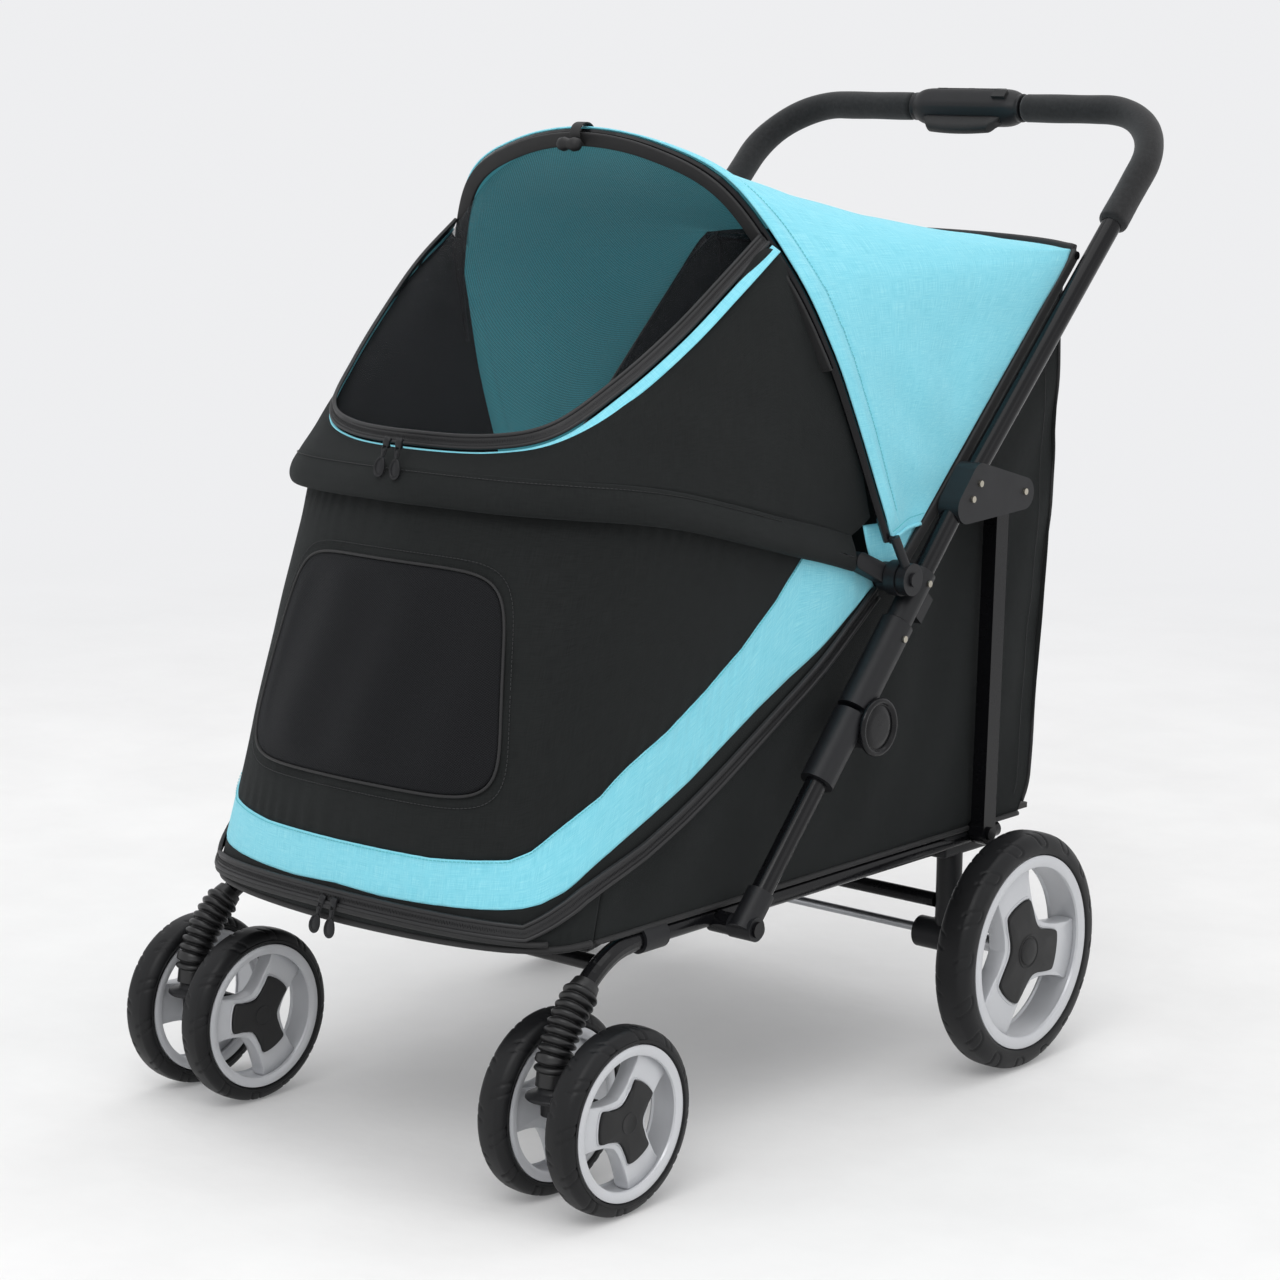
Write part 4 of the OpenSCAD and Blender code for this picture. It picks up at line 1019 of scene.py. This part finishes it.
def wheel(body, at, sign, R, w, rim_r, turn, rear):
    label = body.replace("_wheel", "")
    tyre = tyre_tread(f"{label}_tyre_tread", at, sign, R, w, rim_r, rear)
    # Rim: rounded lip, barrel, hub and star plate
    lip = rim_r - (0.013 if rear else 0.0105)
    barrel = [(rim_r - .0006, -.40 * w), (rim_r - .001, -.47 * w), (rim_r - .0035, -.495 * w), (lip + .003, -.49 * w),
              (lip, -.455 * w), (lip - .0008, -.40 * w), (lip + .0012, -.36 * w), (lip + .003, -.1 * w)]
    barrel += [(r, -x) for r, x in barrel[::-1]]
    parts = [lathe("barrel", barrel, at, "rim", 128, sign, caps=False)]
    k = rim_r / 0.105
    plate = star_outline([(60, .0385 * k), (51, .0405 * k), (42, .0445 * k), (34, .0515 * k), (28, .061 * k),
                          (24, .072 * k), (21.4, .083 * k), (20, lip + .002), (10, lip + .0025), (0, lip + .0025)])
    face, back = .30 * w, -.22 * w
    rows = [(.2, 0, face), (.6, 0, face - .0002), (1, .0022, face - .0006), (1, .0006, face - .0014),
            (1, 0, face - .003), (1, -.0006, 0), (1, -.0002, back + .002), (1, .002, back), (.4, 0, back - .002)]
    parts.append(star("plate", plate, rows, at, sign, turn, "rim"))
    tip = (.54 if rear else .535) * rim_r
    valley = (.29 if rear else .265) * rim_r
    capline = [(60, valley), (50, valley * 1.05), (41, valley * 1.17), (33.5, valley * 1.37), (28, valley * 1.58),
               (23.5, tip * .955), (21.8, tip * .985), (19, tip), (9, tip * .995), (0, tip * .99)]
    cap_out = star_outline(capline)
    ridge = star_outline([(a, r + .0036 * k) for a, r in capline])
    rows = [(1, .0048 * k, face - .001), (1, .0030 * k, face - .0004), (1, .0024 * k, face + .0008),
            (1, .0010 * k, face + .0010), (1, .0002, face + .0004), (1, 0, face - .003)]
    parts.append(star("ridge", ridge, rows, at, sign, turn, "rim"))
    hub_r = .027 if rear else .020
    rows = [(.006, -.37 * w), (hub_r - .003, -.37 * w), (hub_r, -.35 * w), (hub_r + .001, -.2 * w),
            (hub_r + .001, .2 * w), (.006, .2 * w)]
    parts.append(lathe("hub", rows, at, "rim", 64, sign, caps=False))
    rim = crisp(join(f"{label}_rim_star", parts))
    # Cap, with its centre button
    top = face + .0034
    rows = [(.05, 0, top + .0003), (.5, 0, top + .0002), (1, .0016, top), (1, .0004, top - .0004),
            (1, 0, top - .0014), (1, 0, face - .001)]
    caps = [star("cap", cap_out, rows, at, sign, turn, "cap")]
    if rear:
        rows = [(.0185, top - .001), (.0183, top + .0006), (.0175, top + .0011), (.0163, top + .0006),
                (.0160, top + .0001), (.0146, top + .0001), (.0142, top + .0012), (.0128, top + .0022),
                (.006, top + .0029), (.0003, top + .003)]
    else:
        rows = [(.0105, top - .001), (.0103, top + .0005), (.0098, top + .0007), (.0092, top + .0003),
                (.0003, top + .0005)]
    caps.append(lathe("button", rows, at, "cap", 48 if rear else 40, sign))
    cap = crisp(join(f"{label}_cap_star", caps), 50)
    for o, slot, kind in ((tyre, "tyre", "tyre"), (rim, "rim", "rim"), (cap, "cap_plastic", "cap")):
        give(o, body, f"{label}_{kind}")


for side, label in SIDES:
    wheel(f"{label}_rear_wheel", (0.314 * side, 0.177, 0.127), side, 0.127, 0.043, 0.105, 80, True)
    for place, word in ((1, "outer"), (-1, "inner")):
        at = ((0.2467 + place * 0.042) * side, -0.439, 0.089)
        wheel(f"{label}_{word}_wheel", at, side * place, 0.089, 0.034, 0.075, 144, False)

# ---- Gaiters of the front springs ----

FRONT_LEG = vec([[232, -312, 232], [232.5, -345, 232], [235, -378, 230], [239, -404, 224], [243, -427, 214],
                 [245.5, -447, 199], [246.5, -463, 182], [246.7, -475, 164], [246.7, -482, 150]])
leg = curve(FRONT_LEG, np.linspace(4.35, 8, 200))
leg = np.vstack([leg, leg[-1:] + np.linspace([0, 0, 0], [0, -0.004, -0.0265], 20)[1:]])
gs = path_length(leg)
total = gs[-1]
fine = np.linspace(0, total, 250)
leg = np.stack([np.interp(fine, gs, leg[:, k]) for k in range(3)], 1)
ribs = 10
collar_top, collar_foot = 0.009, 0.013
phase = np.clip((fine - collar_top) / (total - collar_top - collar_foot), 0, 1)
swell = np.abs(np.sin(np.pi * ribs * phase)) ** 0.75
girth = 0.0128 + 0.0048 * swell
girth = np.where(fine < collar_top, 0.0131 + 0.0012 * smoothstep(fine, 0, 0.008), girth)
girth = np.where(fine > total - collar_foot, 0.0146, girth)
girth[0] = girth[-1] = 0.0105
FLANGE = [(.011, .012), (.0135, .011), (.0148, .004), (.0165, .0015), (.0245, -.0005), (.0262, -.0015),
          (.0265, -.003), (.0255, -.0042), (.017, -.0046), (.011, -.0046)]
for side, label in SIDES:
    gaiter = tube(f"{label}_gaiter", leg * [side, 1, 1], girth, "gaiter", 32, (1, 0, 0))
    give(gaiter, "chassis", "bellows" if side > 0 else None)
    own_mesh(gaiter)
    at = (0.2467 * side, -0.482, 0.1165)
    give(lathe(f"{label}_caster_flange", FLANGE, at, "plastic", 56, 1, 2, False), f"{label}_caster")

# ---- Handle ----

HANDLE = np.array([[1, 0, 0], [0, .7046, -.7096], [0, .7096, .7046]])
BRACKET = np.array([0, .127, .632])


def on_handle(p):
    """From handle coordinates, with the last one up the tube, to the frame."""
    return np.asarray(p, float) @ HANDLE + BRACKET


arc = np.radians(np.linspace(0, 90, 40))
grips = []
for side, _ in SIDES:
    bend = np.stack([.1825 + .09 * np.cos(arc), 0 * arc, .439 + .09 * np.sin(arc)], 1)
    u = np.vstack([[[.2725, 0, .358]], bend, [[.0765, 0, .529]]])
    p = even(on_handle(u) * [side, 1, 1], 0.0025)
    d = np.arange(len(p)) * 0.0025
    near_end = 1 - np.clip(np.minimum(d, d[-1] - d) / 0.005, 0, 1)
    r = 0.0161 - 0.005 * (1 - np.sqrt(np.clip(1 - near_end**2, 0, 1))) + 0.00018 * np.sin(d * 90 + side)
    grips.append(tube(f"foam_{side}", p, r, "foam", 28, (0, -.7046, .7096)))
give(join("foam_sleeves", grips), "handle_frame", "foam_grips")

# Housing: soft hexagonal section, forward and up in the frame's directions, in millimetres
SECTION = np.array([(-15, 19.5), (-6, 21.2), (5, 21), (11, 18.8), (19, 8.5), (21.6, 3.2), (21.2, -1.5),
                    (16.5, -13), (9, -20.5), (-4, -22), (-14, -19.5), (-20.5, -10), (-21.5, 4), (-19.5, 14)]) / 1000
closed = np.column_stack([np.vstack([SECTION, SECTION[:1]]), np.zeros(len(SECTION) + 1)])
ring = curve(closed, np.linspace(0, len(SECTION), 85)[:-1])[:, :2]
top_y, top_z = on_handle([0, 0, .529])[1:]
stations = np.array([.0755, .0752, .074, .071, .0695, .0688, .0665, .062, .056, .048, .036])
xs = np.concatenate([-stations, np.linspace(-.025, .025, 5), stations[::-1]])
size = np.interp(np.abs(xs), stations[::-1], [1, 1, .985, .93, .84, .80, .76, .76, .79, .78, .6])
bulk = np.interp(np.abs(xs), [.0, .05, .062, .0755], [1, 1, .55, .0])
collar_ring = unit(ring) * 0.0205
rows = []
for x, scale, share in zip(xs, size, bulk):
    q = (ring * share + collar_ring * (1 - share)) * scale
    rows.append(np.stack([np.full(len(q), x), top_y - q[:, 0], top_z + q[:, 1]], 1))
g = np.array(rows)
shell = finish_mesh("shell", g.reshape(-1, 3), web(*g.shape[:2]).tolist() + ends(*g.shape[:2]), "plastic")
sub = shell.modifiers.new("round", "SUBSURF")
sub.levels = sub.render_levels = 1
ridge_line = np.array([(x * .001 * (1 - 2.4 * (f * .001 + .0085)), top_y - f * .001 + .003,
                        top_z + .0212 - abs(f * .001) * .02) for x, f in rounded(92, 17, 7, 5)])
ridge = tube("ridge", even(ridge_line, 0.003, True), 0.0007, "plastic", 6, (0, 0, 1), True)
SCREW = [(.0042, -.002), (.0042, .0008), (.0034, .0012), (.0028, -.0004), (.0003, -.0006)]
screws = [lathe(f"screw_{k}", SCREW, (x, top_y + .0035, top_z + .0212), "cap", 24, 1, 2)
          for k, x in enumerate((-.038, .0, .038))]
for o in screws:
    for v in o.data.vertices:
        v.co.z -= 0.0006
give(join("release_housing", [shell, ridge, *screws]), "handle_frame", "handle_housing")

# Squeeze lever: a trapezoid with rounded ends, under the housing
xs = np.linspace(-.054, .054, 41)
prof = rounded(.016, .024, .0065, 4)
rows = []
for x in xs:
    e = abs(x) / .054
    low, high = .0395 - .004 * e**2 - .006 * smoothstep(e, .86, 1.0), .018
    thick = 1 - .25 * smoothstep(e, .84, 1)
    middle, half_height = -(low + high) / 2, (low - high) / 2
    rows.append(on_handle([(x * (1 - .13 * (1 - b / .012) / 2), a * thick * (1 - .18 * (1 - b / .012) / 2),
                            .529 + middle + half_height * (b / .012)) for a, b in prof]))
g = np.array(rows)
faces = web(*g.shape[:2], across=True).tolist() + ends(*g.shape[:2], over=True)
give(finish_mesh("release_paddle", g.reshape(-1, 3), faces, "cap"), "fold_lever", "release_lever")

# ---- Knee discs ----

KNEE_DISC = [(.0003, .0176), (.0275, .0176), (.0294, .0184), (.0300, .0205), (.0294, .0228), (.0277, .0242),
             (.0254, .0242), (.0242, .0232), (.0236, .0216), (.0230, .0212), (.0222, .0214), (.0215, .0222),
             (.0140, .0227), (.0003, .0229)]
KNEE_INNER = [(.0003, -.022), (.0085, -.022), (.0105, -.0212), (.0112, -.0195), (.0112, -.0178), (.0003, -.0178)]
for side, label in SIDES:
    at = (0.2725 * side, -.0525, .4005)
    face = lathe(f"{label}_knee_face", KNEE_DISC, at, "tube", 72, side)
    back = lathe("inner", KNEE_INNER, at, "plastic", 40, side)
    give(join(f"{label}_knee_disc", [face, back]), "handle_frame", "knee_caps" if side > 0 else None)

# ---- Zip pulls ----


# Oval tab: share of its outline and distance from its middle plane
TAB = ((.02, .0004), (.72, .0004), (.8, -.0004), (.9, -.0011), (.98, -.0008), (1, 0), (.98, .0008), (.9, .0011),
       (.8, .0004), (.72, -.0004), (.02, -.0004))


def pull(name, at, tilt, lean, body, node=None):
    """Slider, wire loop and an oval tab with a raised rim."""
    at = np.asarray(at, float)
    c, s = math.cos(tilt), math.sin(tilt)

    def put(q):
        q = np.asarray(q, float)
        x, z = q[..., 0] * c + q[..., 2] * s, -q[..., 0] * s + q[..., 2] * c
        return np.stack([x, q[..., 1] + lean * z, z], -1) + at

    body_line = put(np.array([[0, -.0005, -.004], [0, -.002, -.001], [0, -.002, .002], [0, -.0005, .005]]))
    slider = sweep("slider", body_line, rounded(.0075, .0042, .0014), "plastic", (0, -1, 0))
    a = np.linspace(0, 2 * np.pi, 28, endpoint=False)
    wire = put(np.stack([.0026 * np.cos(a), -.003 + 0 * a, -.006 + .0085 * np.sin(a)], 1))
    loop = tube("loop", wire, .0008, "plastic", 7, (0, -1, 0), True)
    a = np.linspace(0, 2 * np.pi, 44, endpoint=False)
    shape = np.stack([.0068 * np.cos(a) * (1 - .18 * np.sin(a)), .0102 * np.sin(a)], 1)
    g = np.array([put(np.stack([shape[:, 0] * share, -.0035 + 0 * a + y, -.0235 + shape[:, 1] * share], 1))
                  for share, y in TAB])[::-1]
    faces = web(*g.shape[:2], across=True).tolist() + ends(*g.shape[:2], over=True)
    tab = finish_mesh("tab", g.reshape(-1, 3), faces, "plastic")
    neck_line = put(np.array([[0, -.0034, -.0145], [0, -.0034, -.009], [0, -.003, -.006]]))
    neck = sweep("neck", neck_line, rounded(.0034, .0022, .0009), "plastic", (0, -1, 0))
    give(join(name, [slider, loop, tab, neck]), body, node)


pull("window_pull_a", (-.0085, -.4375, .6925), math.radians(14), .12, "upper_pulls", "window_pulls")
pull("window_pull_b", (.0085, -.4385, .6925), math.radians(3), .12, "upper_pulls")
pull("door_pull_a", (-.0085, -.527, .262), math.radians(16), .1, "lower_pulls", "panel_pulls")
pull("door_pull_b", (.0085, -.528, .262), math.radians(6), .1, "lower_pulls")

# Toggle and strap that hold the rolled window to the bow
a = np.radians(np.linspace(-150, 210, 30, endpoint=False))
top_point = bow_at([[0, 473]], 0, 0)[0]
loop_line = top_point + np.stack([0 * a, 0.0118 * np.cos(a) - .001, 0.0112 * np.sin(a) - .001], 1)
strap_up = np.stack([0 * a, np.cos(a), np.sin(a)], 1)
give(sweep("window_strap", loop_line, rounded(.013, .0014, .0006), "binding", strap_up, True), "bow")
TOGGLE = [(.0003, -.0145), (.0035, -.0142), (.0062, -.0115), (.0072, -.0065), (.0055, -.001), (.0055, .001),
          (.0072, .0065), (.0062, .0115), (.0035, .0142), (.0003, .0145)]
give(lathe("window_toggle", TOGGLE, top_point + [0, -.021, -.011], "cap", 28), "bow")

# ---- Rounded edges on moulded CAD parts ----

MOULDED = ("knee_lower_shells", "knee_upper_shells", "hub_brackets", "strut_feet", "rail_clamps", "leg_brackets",
           "bow_sockets", "hoop_sockets", "left_fork", "right_fork", "left_brake_pedal", "right_brake_pedal",
           "axle_posts", "frame_rivets", "rear_legs")
for name in MOULDED:
    source = nodes[name]
    o = source.copy()
    o.data = source.data.copy()
    for key in list(o.keys()):
        if key.startswith("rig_"):
            del o[key]
    o.parent = None
    o.matrix_world = source.matrix_world
    bpy.context.scene.collection.objects.link(o)
    o.name = f"{name}_soft"
    m = o.modifiers.new("edges", "BEVEL")
    m.width, m.segments = (0.0006 if name == "frame_rivets" else 0.0011), 2
    m.limit_method, m.angle_limit = "ANGLE", math.radians(38)
    EDGED[name] = o

# ---- Mattress ----

MOST_MOVE, QUILT = 0.007, 0.11
pad = bpy.data.objects.new("quilted_mattress", nodes["mattress"].data.copy())
pad.matrix_world = nodes["mattress"].matrix_world.copy()
bpy.context.scene.collection.objects.link(pad)
remesh = pad.modifiers.new("even", "REMESH")
remesh.mode, remesh.voxel_size = "VOXEL", 0.006
bpy.context.view_layer.objects.active = pad
pad.select_set(True)
bpy.ops.object.modifier_apply(modifier="even")
rest = np.zeros(len(pad.data.vertices) * 3)
pad.data.vertices.foreach_get("co", rest)
rest = rest.reshape(-1, 3)
cloth = pad.modifiers.new("fill", "CLOTH")
cloth.settings.use_pressure = True
cloth.settings.uniform_pressure_force = 4.0
cloth.settings.effector_weights.gravity = 0
cloth.settings.quality = 4
cloth.collision_settings.use_collision = False
for f in range(1, 21):
    bpy.context.scene.frame_set(f)
deps = bpy.context.evaluated_depsgraph_get()
now = np.zeros(len(rest) * 3)
pad.evaluated_get(deps).data.vertices.foreach_get("co", now)
move = now.reshape(-1, 3) - rest
size = np.linalg.norm(move, axis=1, keepdims=True)
move *= np.minimum(1, MOST_MOVE / np.maximum(size, 1e-9))
quilt = np.minimum(np.abs(np.sin(rest[:, 0] * np.pi / QUILT)), np.abs(np.sin((rest[:, 1] + .02) * np.pi / QUILT)))
move[:, 2] *= 0.35 + 0.65 * smoothstep(quilt, 0.02, 0.5)
pad.modifiers.clear()
pad.data.vertices.foreach_set("co", (rest + move).ravel())
pad.data.update()
bpy.context.scene.frame_set(1)
sub = pad.modifiers.new("soft", "SUBSURF")
sub.levels = sub.render_levels = 1
pad.data.materials.clear()
pad.data.materials.append(M["pad"])
pad.data.polygons.foreach_set("use_smooth", [True] * len(pad.data.polygons))
give(pad, "chassis", "mattress")

# ---- Stage ----

make_camera()
scene = bpy.context.scene
scene.view_settings.view_transform = "Standard"

floor_n = Nodes("pale_floor", Roughness=0.9, Specular_IOR_Level=0.15)
where = floor_n.place()
radius = floor_n.node("VectorMath", {0: where}, operation="LENGTH").outputs["Value"]
fade = floor_n.node("MapRange", {"Value": radius, "From Min": 0.9, "From Max": 4.2, "To Min": 0.16},
                    interpolation_type="SMOOTHSTEP").outputs[0]
# Painted shade of the floor cloth's creases: a slow noise lightens and darkens the base colour.
crease_shade_noise = floor_n.noise(where, 3.0, 5, 0.6)
tone = floor_n.ramp(crease_shade_noise, (0.3, (0.82, 0.815, 0.805)), (0.7, (0.9, 0.897, 0.885)))
floor_n.set(Base_Color=tone, Normal=floor_n.bump(floor_n.noise(where, 5.0, 4, 0.55), 0.02, 0.25))
glow = floor_n.node("Emission", {"Color": PALE, "Strength": 1.0})
blend = floor_n.node("MixShader", {0: fade, 1: floor_n.p.outputs[0], 2: glow.outputs[0]})
floor_n.t.links.new(blend.outputs[0], floor_n.out.inputs[0])
M["floor"] = floor_n.m

rings = np.concatenate([[0.0], np.geomspace(0.4, 60, 26)])
ang = np.linspace(0, 2 * np.pi, 97)[:-1]
g = np.stack([rings[None, :] * np.cos(ang)[:, None], rings[None, :] * np.sin(ang)[:, None],
              np.full((96, 27), -0.0005)], -1)
finish_mesh("floor", *fan(g), "floor")

world = bpy.data.worlds.new("studio")
scene.world = world
world.use_nodes = True
world.node_tree.nodes["Background"].inputs[0].default_value = PALE
world.node_tree.nodes["Background"].inputs[1].default_value = 1.0
area_light("key", (1.2, -2.6, 3.2), (0, 0, 0.5), (2.2, 1.6), 42)
area_light("top", (0.0, 0.3, 3.6), (0, 0, 0.4), (3.0, 3.0), 30)
area_light("side", (3.4, 0.4, 1.8), (0.2, 0, 0.5), (1.6, 2.2), 6)

# ---- Finishes of the CAD nodes ----

SLOT_MATERIAL = {"frame_tube": "tube", "steel": "steel", "rivet": "rivet", "plastic": "plastic", "cap_plastic": "cap",
                 "foam": "foam", "gaiter": "gaiter", "tyre": "tyre", "rim": "rim", "fabric_black": "black",
                 "fabric_cyan": "cyan", "mesh": "insert", "pad": "pad", "board": "board", "zip": "zip"}
for part in frame["record"]["subparts"]:
    name = part["node"]
    for o in filter(None, (nodes[name], EDGED.get(name))):
        o.data.materials.clear()
        o.data.materials.append(M[SLOT_MATERIAL[part["material_slot"]]])
    if name in EDGED:
        give(EDGED[name], nodes[name]["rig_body"], name)

# ---- Declared sheets ----

SHEETS = {
    "door_panel": ("stretched", ["band_seam"]),
    "door_band": ("stretched", []),
    "door_hem": ("stretched", ["zip_tape", "zip_lip_0", "zip_lip_1", "zip_coil"]),
    "mesh_insert": ("stretched", ["insert_piping", "insert_stitches"]),
    "tub_lip": ("stretched", ["lip_piping", "zip_piping"]),
    "tub_rear": ("hung", ["rear_seam_36", "rear_seam_60"]),
    "waist_band": ("folded", ["waist_stitches"]),
    "collar_panel": ("stretched", ["window_trim", "window_zip_tape", "window_zip_coil", "window_zip_lip_0",
                                   "window_zip_lip_1"]),
    "mesh_window_sheet": ("stretched", ["window_binding", "window_strap", "window_toggle"]),
    "canopy_hood": ("stretched", ["canopy_front_stitches", "roof_rear_binding"]),
}
for _, label in SIDES:
    SHEETS[f"tub_side_{label}"] = ("stretched", [f"tub_base_piping_{label}", f"tub_rear_piping_{label}",
                                                 f"tub_rear_stitches_{label}", f"zip_side_piping_{label}"])
    SHEETS[f"canopy_gusset_{label}"] = ("stretched", [])
    SHEETS["canopy_hood"][1].extend([f"canopy_hem_{label}", f"canopy_hem_stitches_{label}",
                                     f"canopy_channel_{label}"])
